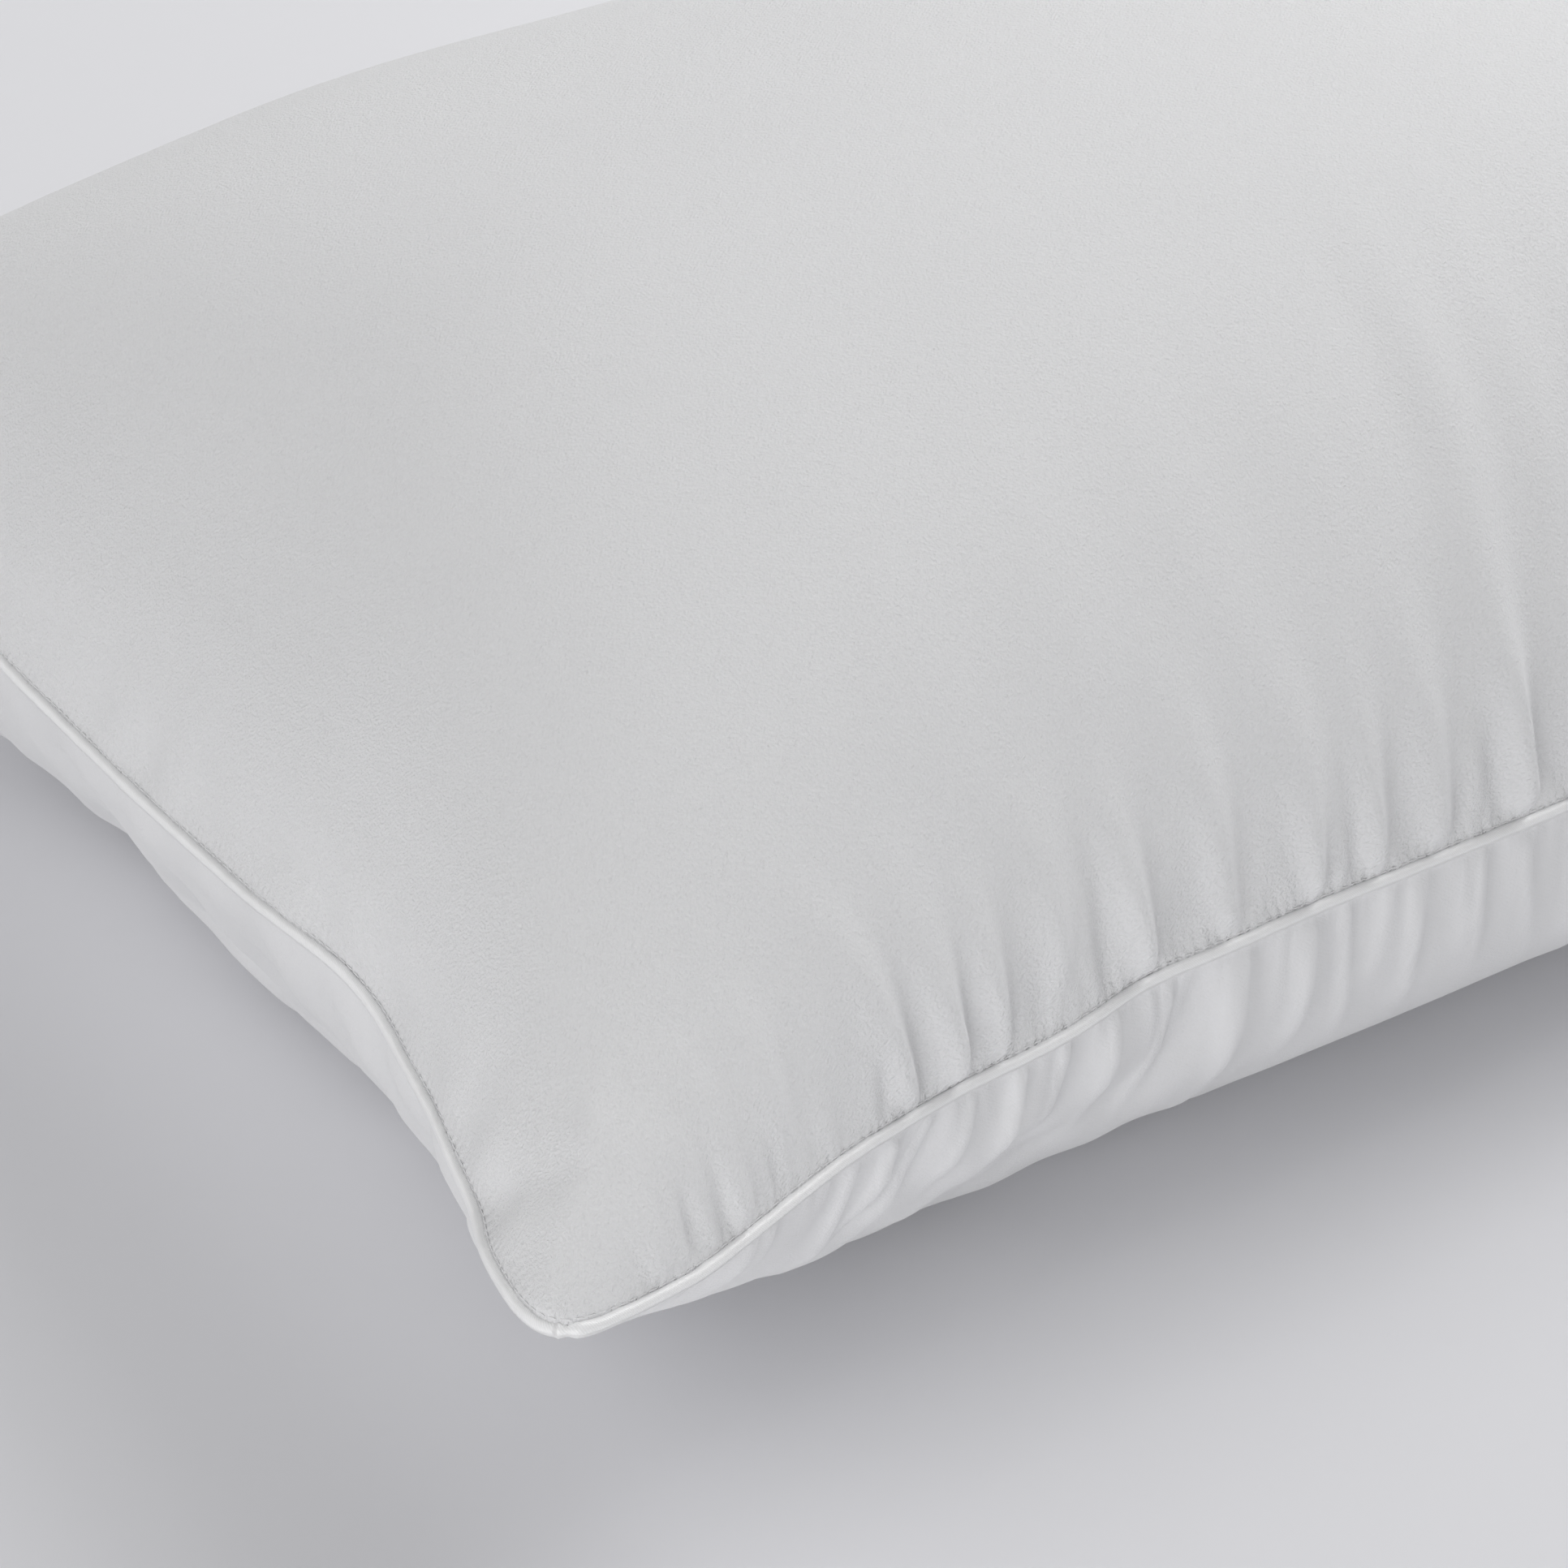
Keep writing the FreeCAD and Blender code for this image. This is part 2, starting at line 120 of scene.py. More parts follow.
def inflate_cover():
    """Blow the flat cover up, let it settle on the floor, and read both layers back."""
    columns = round(CUT_LENGTH / SIM_STEP)
    rows = round(CUT_WIDTH / SIM_STEP)
    points, faces, layers = envelope(columns, rows)
    mesh = bpy.data.meshes.new("flat_cover")
    mesh.from_pydata(points, [], faces)
    cover = bpy.data.objects.new("flat_cover", mesh)
    bpy.context.collection.objects.link(cover)
    bpy.ops.mesh.primitive_plane_add(size=4)
    ground = bpy.context.object
    ground.modifiers.new("ground", "COLLISION")
    ground.collision.thickness_outer = 1 * MM

    cloth = cover.modifiers.new("cloth", "CLOTH")
    cloth.point_cache.frame_start = 1
    cloth.point_cache.frame_end = SIM_FRAMES
    for name, value in SIM_CLOTH.items():
        setattr(cloth.settings, name, value)
    cloth.settings.effector_weights.gravity = SIM_GRAVITY
    cloth.collision_settings.distance_min = 2 * MM

    scene = bpy.context.scene
    scene.frame_start = 1
    scene.frame_end = SIM_FRAMES
    for step in range(1, SIM_FRAMES + 1):
        scene.frame_set(step)
    settled = cover.evaluated_get(bpy.context.evaluated_depsgraph_get()).to_mesh()
    flat = np.empty(len(settled.vertices) * 3)
    settled.vertices.foreach_get("co", flat)
    places = flat.reshape(-1, 3)
    upper, lower = (places[numbers] for numbers in layers)
    for item in (cover, ground):
        bpy.data.objects.remove(item, do_unlink=True)
    scene.frame_set(1)
    return even_out(upper), even_out(lower)


def even_out(layer):
    """Average a layer with its mirror images, so that the pillow stands square."""
    for axis in (0, 1):
        mirror = np.flip(layer, axis).copy()
        mirror[..., axis] *= -1
        layer = (layer + mirror) / 2
    return layer


def spline_weights(count, where):
    """Weights that read a natural cubic spline through count even knots at where."""
    band = 4 * np.eye(count) + np.eye(count, k=1) + np.eye(count, k=-1)
    bend = -12 * np.eye(count) + 6 * np.eye(count, k=1) + 6 * np.eye(count, k=-1)
    for end in (0, -1):
        band[end] = 0
        band[end, end] = 1
        bend[end] = 0
    curvature = np.linalg.solve(band, bend)
    knot = np.clip(np.floor(where).astype(int), 0, count - 2)
    late = where - knot
    early = 1 - late
    weights = np.zeros((len(where), count))
    index = np.arange(len(where))
    weights[index, knot] += early
    weights[index, knot + 1] += late
    weights += ((early ** 3 - early) / 6)[:, None] * curvature[knot]
    weights += ((late ** 3 - late) / 6)[:, None] * curvature[knot + 1]
    return weights


def read_layer(layer, x, y):
    """Places of a simulated layer at cut positions x, y, measured from the middle."""
    columns, rows = layer.shape[0] - 1, layer.shape[1] - 1
    along = spline_weights(columns + 1, (x.ravel() / CUT_LENGTH + 0.5) * columns)
    across = spline_weights(rows + 1, (y.ravel() / CUT_WIDTH + 0.5) * rows)
    part = (along @ layer.reshape(columns + 1, -1)).reshape(-1, rows + 1, 3)
    return np.einsum("pjk,pj->pk", part, across).reshape(x.shape + (3,))


def spread(stops):
    """Positions along an edge from (end, step) pairs, each step at most that size."""
    places = [0.0]
    for end, step in stops:
        count = max(1, math.ceil((end - places[-1]) / step))
        start = places[-1]
        places += [start + (end - start) * k / count for k in range(1, count + 1)]
    return np.array(places) * MM


# Fine grid of the finished cloth: closer together by the near corner and the seams.
ALONG = spread(((330, 1.6), (700, 3.2), (750, 2.0)))
ACROSS = spread(((48, 1.6), (90, 3.0), (430, 5.0), (470, 3.0), (500, 2.0)))


class Cut:
    """The fine grid on the flat cloth, with its corners rounded."""

    def __init__(self):
        along, across = np.meshgrid(ALONG, ACROSS, indexing="ij")
        x = along - CUT_LENGTH / 2
        y = across - CUT_WIDTH / 2
        past_x = abs(x) - (CUT_LENGTH / 2 - CUT_RADIUS)
        past_y = abs(y) - (CUT_WIDTH / 2 - CUT_RADIUS)
        corner = (past_x > 0) & (past_y > 0)
        reach = np.where(corner, np.hypot(past_x, past_y), 1.0)
        square = np.maximum(past_x, past_y)
        shrink = np.where(corner, square / reach, 1.0)
        self.x = np.sign(x) * (abs(x) - past_x * (1 - shrink))
        self.y = np.sign(y) * (abs(y) - past_y * (1 - shrink))
        # Distances to the seam: left and right are the short sides, near and far the long.
        self.near = across
        self.far = CUT_WIDTH - across
        self.left = along
        self.right = CUT_LENGTH - along
        self.from_side = np.minimum(self.near, self.far)
        self.from_end = np.minimum(self.left, self.right)
        self.to_seam = np.minimum(self.from_side, self.from_end)
        to_square = np.minimum(CUT_LENGTH / 2 - abs(self.x), CUT_WIDTH / 2 - abs(self.y))
        self.thin = np.sqrt(np.clip(self.to_seam / np.maximum(to_square, 1e-6), 0, 1))
        # Horizontal direction out of the nearest seam.
        sideways = np.where(past_x > past_y, 1.0, 0.0)
        out_x = np.where(corner, past_x / reach, sideways) * np.sign(x)
        out_y = np.where(corner, past_y / reach, 1 - sideways) * np.sign(y)
        self.outward = np.stack([out_x, out_y, np.zeros_like(x)], -1)
        self.to_corner = np.hypot(self.from_end, self.from_side)
        # Distance run along the nearest side, for the puckers of the stitching.
        self.run = np.where(past_x > past_y, y, x)


# Where the stiff piping and the packed fibre hold the sides away from the evenly settled
# shape, in millimetres: (distance from a corner along the side, breadth, outward push, lift).
LONG_SIDE_TRIM = ((55, 32, 5, -4), (155, 50, 4.5, -4.5), (300, 100, 2, -1.5))
SHORT_SIDE_TRIM = ((50, 36, 5.5, -2), (168, 30, 0, 3), (250, 80, 4.5, 0))
PUSH = 2
LIFT = 3
TRIM_REACH = 0.9                        # a push fades over this share of its breadth
TRIM_FREE = 60 * MM                     # the lift comes in up to this height

# The same for the belly of the lower cloth: (distance from a corner, breadth, push).  It is
# deepest at a depth from the seam, and comes in from the seam and from the floor.
LONG_BELLY = ((110, 90, -2), (300, 120, 2))
SHORT_BELLY = ((230, 80, -6),)
BELLY_DEPTH = 50 * MM
BELLY_BREADTH = 32 * MM
BELLY_START = 20 * MM
BELLY_FREE = 25 * MM

# The sewn layers' stiffness irons short waves out of the seam, from past the corners on.
CALM_WIDTH = 13 * MM
CALM_REACH = 24 * MM
CALM_FROM_CORNER = 30 * MM
CALM_EASE = 40 * MM

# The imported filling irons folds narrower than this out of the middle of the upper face.
IRON_WIDTH = 45 * MM
IRON_FROM_SEAM = 2 * MM
IRON_FROM_SIDE = 20 * MM
IRON_FROM_END = 30 * MM
IRON_EDGE = 18 * MM
IRON_EASE = 50 * MM


def mirrored_bumps(along, length, trims, column, depth=0.0):
    """Sum of the bumps of one column of a trim table, counted from both corners.

    Each bump fades with the depth from the seam, over a distance that goes with its breadth.
    """
    total = np.zeros_like(along)
    for row in trims:
        centre, breadth = row[0] * MM, row[1] * MM
        fade = np.exp(-((depth / (TRIM_REACH * breadth)) ** 2))
        for place in (along, length - along):
            total += row[column] * MM * fade * np.exp(-(((place - centre) / breadth) ** 2))
    return total


def ironing_weights(along, width):
    """Row of weights for each place on a line, to average its neighbours."""
    gap = along[:, None] - along[None, :]
    weights = np.exp(-((gap / width) ** 2)) * np.gradient(along)[None, :]
    return weights / weights.sum(axis=1, keepdims=True)


def keep_curve(weights):
    """Averaging that keeps a face's broad curve: what it loses is put back once."""
    return 2 * weights - weights @ weights


def iron_face(layer, cut):
    """Iron the narrow folds out of the middle of a face, leaving its seam alone."""
    inside = smooth((cut.to_seam - IRON_FROM_SEAM) / IRON_EDGE)
    from_ends = smooth((cut.from_end - IRON_FROM_END) / IRON_EASE)
    from_sides = smooth((cut.from_side - IRON_FROM_SIDE) / IRON_EASE)
    across = keep_curve(ironing_weights(cut.near[0], IRON_WIDTH))
    along = keep_curve(ironing_weights(cut.left[:, 0], IRON_WIDTH))
    ironed = np.einsum("ij,kjc->kic", across, layer)
    layer = layer + (ironed - layer) * (inside * from_sides)[..., None]
    ironed = np.einsum("ij,jkc->ikc", along, layer)
    return layer + (ironed - layer) * (inside * from_ends)[..., None]


def calm_side(layer, along, length, depth, edge, is_long):
    """Iron the short waves out of one side of a layer, fading away from its seam."""
    weights = ironing_weights(along, CALM_WIDTH)
    from_end = np.minimum(along, length - along)
    share = smooth((from_end - CALM_FROM_CORNER) / CALM_EASE)
    shift = (weights @ edge - edge) * share[:, None]
    shift = shift[:, None, :] if is_long else shift[None, :, :]
    return layer + shift * np.exp(-((depth / CALM_REACH) ** 2))[..., None]


def calm_seam(layer, cut):
    """Iron the short waves out of all four sides of a layer."""
    for end, depth in ((0, cut.near), (-1, cut.far)):
        layer = calm_side(layer, cut.left[:, 0], CUT_LENGTH, depth, layer[:, end], True)
    for end, depth in ((0, cut.left), (-1, cut.right)):
        layer = calm_side(layer, cut.near[0], CUT_WIDTH, depth, layer[end], False)
    return layer


def both_sides(cut, long_trims, short_trims):
    """For each kind of side: its trims, axis, run, length, depth and which way is out."""
    return (
        (long_trims, 1, cut.left, CUT_LENGTH, cut.from_side, cut.y),
        (short_trims, 0, cut.near, CUT_WIDTH, cut.from_end, cut.x),
    )


def trim_sides(places, cut):
    """Ease the seam in and out along the sides."""
    sides = both_sides(cut, LONG_SIDE_TRIM, SHORT_SIDE_TRIM)
    free = np.clip(places[..., 2] / TRIM_FREE, 0, 1)
    for trims, axis, along, length, depth, where in sides:
        places[..., axis] += np.sign(where) * mirrored_bumps(along, length, trims, PUSH, depth)
        places[..., 2] += free * mirrored_bumps(along, length, trims, LIFT, depth)
    return places


def trim_belly(places, cut):
    """Ease the belly of the lower cloth in and out between seam and floor."""
    sides = both_sides(cut, LONG_BELLY, SHORT_BELLY)
    free = np.clip(places[..., 2] / BELLY_FREE, 0, 1)
    for trims, axis, along, length, depth, where in sides:
        swell = np.exp(-(((depth - BELLY_DEPTH) / BELLY_BREADTH) ** 2))
        swell *= np.clip(depth / BELLY_START, 0, 1)
        push = mirrored_bumps(along, length, trims, PUSH)
        places[..., axis] += np.sign(where) * free * swell * push
    return places


# How far the seam line lies inside the outer edge of the piping.
SEAM_INSET = 1.9 * PIPE_RADIUS


def settle_size(upper, lower):
    """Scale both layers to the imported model: its corner tips, its crown and the floor."""
    tip = np.array([PIPE_HIGH[0] - SEAM_INSET, PIPE_HIGH[1] - SEAM_INSET])
    reach = upper[..., :2].reshape(-1, 2).max(0)
    lowest = lower[..., 2].min()
    rise = CROWN / (upper[..., 2].max() - lowest)
    for layer in (upper, lower):
        layer[..., :2] *= tip / reach
        layer[..., 2] = (layer[..., 2] - lowest) * rise
    return upper, lower


def outward_normals(places, side):
    """Unit normals of a layer, pointing out of the pillow."""
    normal = np.cross(np.gradient(places, axis=0), np.gradient(places, axis=1)) * side
    length = np.linalg.norm(normal, axis=-1, keepdims=True)
    return normal / np.maximum(length, 1e-12)


# ---------------- gathers and folds

# The main gathers of the near long side fan out from one place along it.  For each layer,
# in millimetres: where they start and end along the side, their mean spacing, and their
# least and greatest length.  A longer one is higher and broader.
FAN_CENTRE = 235
FAN_SPREAD = 0.15                       # sideways drift over the distance from the centre
UPPER_FAN = (100, 325, 22, 55, 105)
LOWER_FAN = (95, 325, 17, 45, 70)
UPPER_RATIOS = (0.044, 2.2, 0.030)      # height over length, least breadth, breadth over length
LOWER_RATIOS = (0.032, 1.2, 0.012)
LOWER_CREST = 0.75                      # how sharp the lower gathers are: round 0, sharp 1


def gather(along, depth, place, drift, length, height, breadth, crest):
    """One gather: a ridge that leaves the seam narrow, drifts sideways and fades out.

    The crest is round at 0 and sharp at 1.
    """
    length, breadth, height = length * MM, breadth * MM, height * MM
    run = np.clip(depth / length, 0, 1)
    axis = place * MM + drift * MM * run ** 1.5
    wide = breadth * (0.45 + 0.95 * run)
    x = (along - axis) / wide
    # The left flank gets steeper and the right one longer as the crest gets sharper.
    left = np.minimum(x, 0) / (1.7 - 0.7 * crest)
    right = np.maximum(x, 0) / (1.3 + 1.6 * crest)
    round_ridge = np.exp(-(left ** 2)) * np.exp(-(right ** 2))
    sharp_ridge = np.exp(1.6 * left - 1.6 * right)
    valley = 0.35 * (1 - crest) * np.exp(-(((x - 2.5) / 1.3) ** 2))
    rise = smooth(depth / (0.08 * length + 1.2 * MM))
    fall = smooth((1 - run) * 1.25)
    ridge = round_ridge * (1 - crest) + sharp_ridge * crest
    return height * rise * fall * (ridge - valley)


def main_gathers(rng, side):
    """The long gathers of a layer, where the near long side is drawn in most."""
    start, end, spacing, shortest, longest = UPPER_FAN if side > 0 else LOWER_FAN
    steep, least, widening = UPPER_RATIOS if side > 0 else LOWER_RATIOS
    place = start
    rows = []
    while place < end:
        place += spacing * rng.uniform(0.75, 1.25)
        length = rng.uniform(shortest, longest)
        drift = FAN_SPREAD * (place - FAN_CENTRE) + rng.uniform(-5, 5)
        rows.append((place, drift, length, steep * length, least + widening * length))
    return rows


def random_gathers(rng, start, end, spacing, strength):
    """Gathers at uneven distances along a side."""
    place = start
    rows = []
    while place < end:
        place += spacing * rng.uniform(0.55, 1.5)
        length = rng.uniform(14, 40) + (rng.random() < 0.3) * rng.uniform(20, 50)
        height = strength * length * rng.uniform(0.018, 0.028)
        rows.append((place, rng.uniform(-8, 8), length, height, 1.6 + length * 0.03))
    return rows


def fine_gathers(rng, along, depth, spacing, height):
    """The small even crowding of cloth along a seam, fading within a few millimetres."""
    total = np.zeros_like(along)
    for step, share in ((1.0, 1.0), (1.7, 0.8), (2.9, 0.9)):
        wave = spacing * step * MM
        phase = rng.uniform(0, 2 * math.pi)
        drift = 0.9 * np.sin(along / (wave * 5.3) + rng.uniform(0, 6))
        sway = 1 + 0.5 * np.sin(along / (wave * 3.1) + rng.uniform(0, 6))
        reach = 4.5 * MM * step
        fade = smooth(depth / (1.5 * MM)) * np.exp(-depth / reach)
        total += share * sway * fade * np.sin(2 * math.pi * along / wave + phase + drift)
    return total * height * MM


def soft_noise(cut, size, level, side):
    """Even, slow unevenness over the whole cloth, from -1 to 1; each level is another one."""
    scale = 1 / (size * MM)
    values = [
        noise.noise(Vector((x * scale, y * scale, level + side * 7.3)))
        for x, y in zip(cut.x.ravel(), cut.y.ravel())
    ]
    return np.array(values).reshape(cut.x.shape)


# Broad soft folds of the upper cloth, in millimetres: (from the corner, from the near side,
# length, breadth, height).  They run away from the long side at a slant.
FOLD_SLANT = 0.22
BROAD_FOLDS = (
    (283, 72, 40, 9, 1.1),
    (300, 85, 45, 9, 1.2),
    (322, 80, 50, 9, 1.5),
    (333, 105, 55, 10, 1.5),
    (350, 95, 60, 10, 1.5),
    (245, 90, 45, 11, 0.8),
    (205, 88, 45, 11, 0.8),
    (160, 80, 40, 12, 0.6),
)


def broad_folds(cut):
    """Slow folds that fade at both ends."""
    total = np.zeros_like(cut.near)
    for place, depth, length, breadth, height in BROAD_FOLDS:
        beyond = cut.near - depth * MM
        x = (cut.left - place * MM - FOLD_SLANT * beyond) / (breadth * MM)
        y = beyond / (length * MM)
        total += height * MM * np.exp(-x * x - y * y)
        total -= 0.6 * height * MM * np.exp(-((x - 1.7) ** 2) - y * y)
    return total


# A fuller patch of filling behind the crown: its distances from the short and the long
# side, how far it spreads along and across, and its height.
SWELL_PLACE = (205 * MM, 112 * MM)
SWELL_SPREAD = (80 * MM, 60 * MM)
SWELL_HEIGHT = 3.6 * MM


def packed_swell(cut):
    """The gentle rise of the fuller patch."""
    along = (cut.left - SWELL_PLACE[0]) / SWELL_SPREAD[0]
    across = (cut.far - SWELL_PLACE[1]) / SWELL_SPREAD[1]
    return SWELL_HEIGHT * np.exp(-along * along - across * across)


UPPER_SEED = 11
LOWER_SEED = 23

# Small gathers, in millimetres: (start and end along the side, mean spacing, strength).
NEAR_AMONG_MAIN = (22, 330, 9, 1.5)
NEAR_BEYOND = (335, 715, 13, 1.5)
FAR_SIDE = (40, 700, 13, 1.4)
RIGHT_END = (40, 460, 34, 0.4)

# The fine crowding along a seam, in millimetres: (spacing, height).
SIDE_CROWDING = (3.2, 0.12)
END_CROWDING = (5.5, 0.05)

# How far from a corner the gathers of a long and of a short side reach their full height.
SIDE_FADE = 30 * MM
END_FADE = 20 * MM

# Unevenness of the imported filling, (size, height) in millimetres and the noise's level.
UNEVENNESS = ((110, 0.7, 3.1), (30, 0.12, 8.4))


def relief(cut, side):
    """How far each point of a layer stands out from the settled shape."""
    rng = np.random.default_rng(UPPER_SEED if side > 0 else LOWER_SEED)
    corner_fade = smooth(cut.from_end / SIDE_FADE)
    total = np.zeros_like(cut.near)
    near_rows = main_gathers(rng, side)
    near_rows += random_gathers(rng, *NEAR_AMONG_MAIN)
    near_rows += random_gathers(rng, *NEAR_BEYOND)
    far_rows = random_gathers(rng, *FAR_SIDE)
    crest = 0.0 if side > 0 else LOWER_CREST
    for rows, depth in ((near_rows, cut.near), (far_rows, cut.far)):
        for row in rows:
            total += corner_fade * gather(cut.left, depth, *row, crest)
        total += corner_fade * fine_gathers(rng, cut.left, depth, *SIDE_CROWDING)
    end_fade = smooth(cut.from_side / END_FADE)
    for depth in (cut.left, cut.right):
        total += end_fade * fine_gathers(rng, cut.near, depth, *END_CROWDING)
    for row in random_gathers(rng, *RIGHT_END):
        total += end_fade * gather(cut.near, cut.right, *row, crest)
    if side > 0:
        total += broad_folds(cut) + packed_swell(cut)
    away = smooth(cut.to_seam / (60 * MM))
    for size, height, level in UNEVENNESS:
        total += away * height * MM * soft_noise(cut, size, level, side)
    return total * smooth(cut.to_seam / (1.2 * MM))


# The cloth is sewn to the flanks of the piping, this far out from and off the seam line.
LIP_OUT = 0.85 * MM
LIP_RISE = 1.45 * MM
LIP_REACH = 5 * MM

# Near a corner the cover is drawn thin: share taken away, above and below, and how far in.
CORNER_THIN_UPPER = 0.15
CORNER_THIN_LOWER = 0.55
CORNER_REACH = 48 * MM

# The lower cloth stays off the floor by a gap.  Where it lies lower than a height, gathers
# can lift it but not push it down.
FLOOR_GAP = 0.3 * MM
PRESSED_HEIGHT = 4 * MM


def thin_corners(upper, lower, cut):
    """Bring both layers closer together towards the corners."""
    middle = (upper[..., 2] + lower[..., 2]) / 2
    near = np.exp(-((cut.to_corner / CORNER_REACH) ** 2))
    upper[..., 2] = middle + (upper[..., 2] - middle) * (1 - CORNER_THIN_UPPER * near)
    lower[..., 2] = middle + (lower[..., 2] - middle) * (1 - CORNER_THIN_LOWER * near)


def sew_to_piping(places, cut, side):
    """Carry the edge of a layer onto the flank of the piping."""
    fade = np.exp(-cut.to_seam / LIP_REACH)[..., None]
    up = np.array([0.0, 0.0, side * LIP_RISE])
    return places + fade * (cut.outward * LIP_OUT + up)


def shape_cover():
    """Both finished layers of the cover, and the seam between them, as places."""
    cut = Cut()
    upper_sim, lower_sim = inflate_cover()
    upper = iron_face(read_layer(upper_sim, cut.x, cut.y), cut)
    lower = read_layer(lower_sim, cut.x, cut.y)
    middle = (upper + lower) / 2
    half = (upper - lower) / 2 * cut.thin[..., None]
    upper, lower = settle_size(middle + half, middle - half)
    upper = calm_seam(upper, cut)
    lower = calm_seam(lower, cut)
    upper = trim_sides(upper, cut)
    lower = trim_belly(trim_sides(lower, cut), cut)
    thin_corners(upper, lower, cut)
    seam = seam_loop(upper)
    base = lower.copy()
    upper += outward_normals(upper, 1) * relief(cut, 1)[..., None]
    lower += outward_normals(lower, -1) * relief(cut, -1)[..., None]
    upper = sew_to_piping(upper, cut, 1)
    lower = sew_to_piping(lower, cut, -1)
    pressed = base[..., 2] < PRESSED_HEIGHT
    lower[..., 2] = np.where(pressed, np.maximum(base[..., 2], lower[..., 2]), lower[..., 2])
    lower[..., 2] = np.maximum(lower[..., 2], FLOOR_GAP)
    return cut, upper, lower, seam


# ---------------- mesh helpers


def new_piece(name, points, faces, attributes=None):
    """A smooth-shaded mesh object, with a cloth position stored on each point."""
    mesh = bpy.data.meshes.new(name)
    mesh.from_pydata(np.asarray(points).tolist(), [], faces)
    mesh.shade_smooth()
    mesh.update()
    piece = bpy.data.objects.new(name, mesh)
    bpy.context.collection.objects.link(piece)
    if attributes is not None:
        add_attribute(piece, "cloth", attributes)
    return piece


def add_attribute(piece, name, values):
    """Store a vector on each point of a piece."""
    layer = piece.data.attributes.new(name, "FLOAT_VECTOR", "POINT")
    layer.data.foreach_set("vector", np.asarray(values, dtype=np.float32).ravel())


def grid_faces(columns, rows, flip=False):
    """Quads of a grid of points."""
    faces = []
    for i in range(columns - 1):
        for j in range(rows - 1):
            first = i * rows + j
            ring = [first, first + rows, first + rows + 1, first + 1]
            faces.append(ring[::-1] if flip else ring)
    return faces


def finish_piece(piece, material, slot, *nodes):
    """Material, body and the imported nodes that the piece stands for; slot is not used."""
    piece.data.materials.append(material)
    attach(piece, "root")
    if nodes:
        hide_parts(*nodes)


CLOTH_THICKNESS = 0.5 * MM

# The puckers of the stitching start this far from a corner and grow over the next stretch.
PUCKERS_FROM_CORNER = 12 * MM
PUCKERS_EASE = 15 * MM


def make_panel(name, places, cut, side, material, node):
    """One face of the cover, with the thickness of its cloth."""
    columns, rows = cut.x.shape
    flat = np.stack([cut.x, cut.y, np.full_like(cut.x, side * 1.0)], -1).reshape(-1, 3)
    faces = grid_faces(columns, rows, flip=side < 0)
    panel = new_piece(name, places.reshape(-1, 3), faces, flat)
    beside = smooth((cut.to_corner - PUCKERS_FROM_CORNER) / PUCKERS_EASE)
    add_attribute(panel, "seam", np.stack([cut.run, cut.to_seam, beside], -1))
    cloth = panel.modifiers.new("cloth_thickness", "SOLIDIFY")
    cloth.thickness = CLOTH_THICKNESS
    cloth.offset = -1
    finish_piece(panel, material, "cover_cloth", node)


# ---------------- piping and thread


def seam_loop(layer):
    """The seam as one closed run of places, anticlockwise from the near corner."""
    return np.concatenate(
        [layer[:-1, 0], layer[-1, :-1], layer[:0:-1, -1], layer[0, :0:-1]]
    )


def resample(loop, step):
    """The same closed run with evenly spaced places, and its length."""
    closed = np.vstack([loop, loop[:1]])
    lengths = np.concatenate([[0], np.cumsum(np.linalg.norm(np.diff(closed, axis=0), axis=1))])
    count = round(lengths[-1] / step)
    where = np.arange(count) * lengths[-1] / count
    even = np.stack([np.interp(where, lengths, closed[:, axis]) for axis in range(3)], -1)
    return even, where, lengths[-1]


def soften(loop, passes):
    """Ease small kinks out of a closed run."""
    for _ in range(passes):
        loop = 0.5 * loop + 0.25 * (np.roll(loop, 1, 0) + np.roll(loop, -1, 0))
    return loop


def frames_along(loop):
    """Tangent, outward and upward directions at each place of a closed run."""
    tangent = np.roll(loop, -1, 0) - np.roll(loop, 1, 0)
    tangent /= np.linalg.norm(tangent, axis=1, keepdims=True)
    outward = np.cross(tangent, (0.0, 0.0, 1.0))
    outward /= np.linalg.norm(outward, axis=1, keepdims=True)
    upward = np.cross(outward, tangent)
    return tangent, outward, upward


def tube(name, centre, radius, sides, where):
    """A closed tube along a closed run; radius may differ from place to place."""
    _, outward, upward = frames_along(centre)
    angles = 2 * math.pi * np.arange(sides) / sides
    radius = np.broadcast_to(radius, (len(centre),))[:, None, None]
    ring = outward[:, None] * np.cos(angles)[None, :, None]
    ring = ring + upward[:, None] * np.sin(angles)[None, :, None]
    points = centre[:, None] + ring * radius
    count = len(centre)
    faces = []
    for i in range(count):
        after = (i + 1) % count
        for j in range(sides):
            up = (j + 1) % sides
            faces.append([i * sides + j, after * sides + j, after * sides + up, i * sides + up])
    turn = np.broadcast_to(angles[None, :] * PIPE_RADIUS, (count, sides))
    run = np.broadcast_to(where[:, None], (count, sides))
    marks = np.stack([run, turn, np.zeros_like(run)], -1)
    return new_piece(name, points.reshape(-1, 3), faces, marks.reshape(-1, 3))


# Pressed into the seam, the piping looks a little slimmer than it is.
PIPE_SEEN = 0.78 * PIPE_RADIUS
CORE_SHARE = 0.5
PIPE_OUT = 1.3 * MM                     # from the seam line out to its middle
PIPE_SIDES = 14
THREAD_SIDES = 6
PIPE_SEED = 5
PIPE_WAVES = (9, 14, 23, 41)            # lengths of its slow waves, in millimetres
WAVE_RISE = 0.05 * MM
WAVE_SWELL = 0.012

# The lap where the strip is joined: its distance from the end of the run round the seam,
# which starts at the near corner, its length and how much thicker it is.
JOIN_FROM_END = 234 * MM
JOIN_LAP = 13 * MM
JOIN_SWELL = 0.10

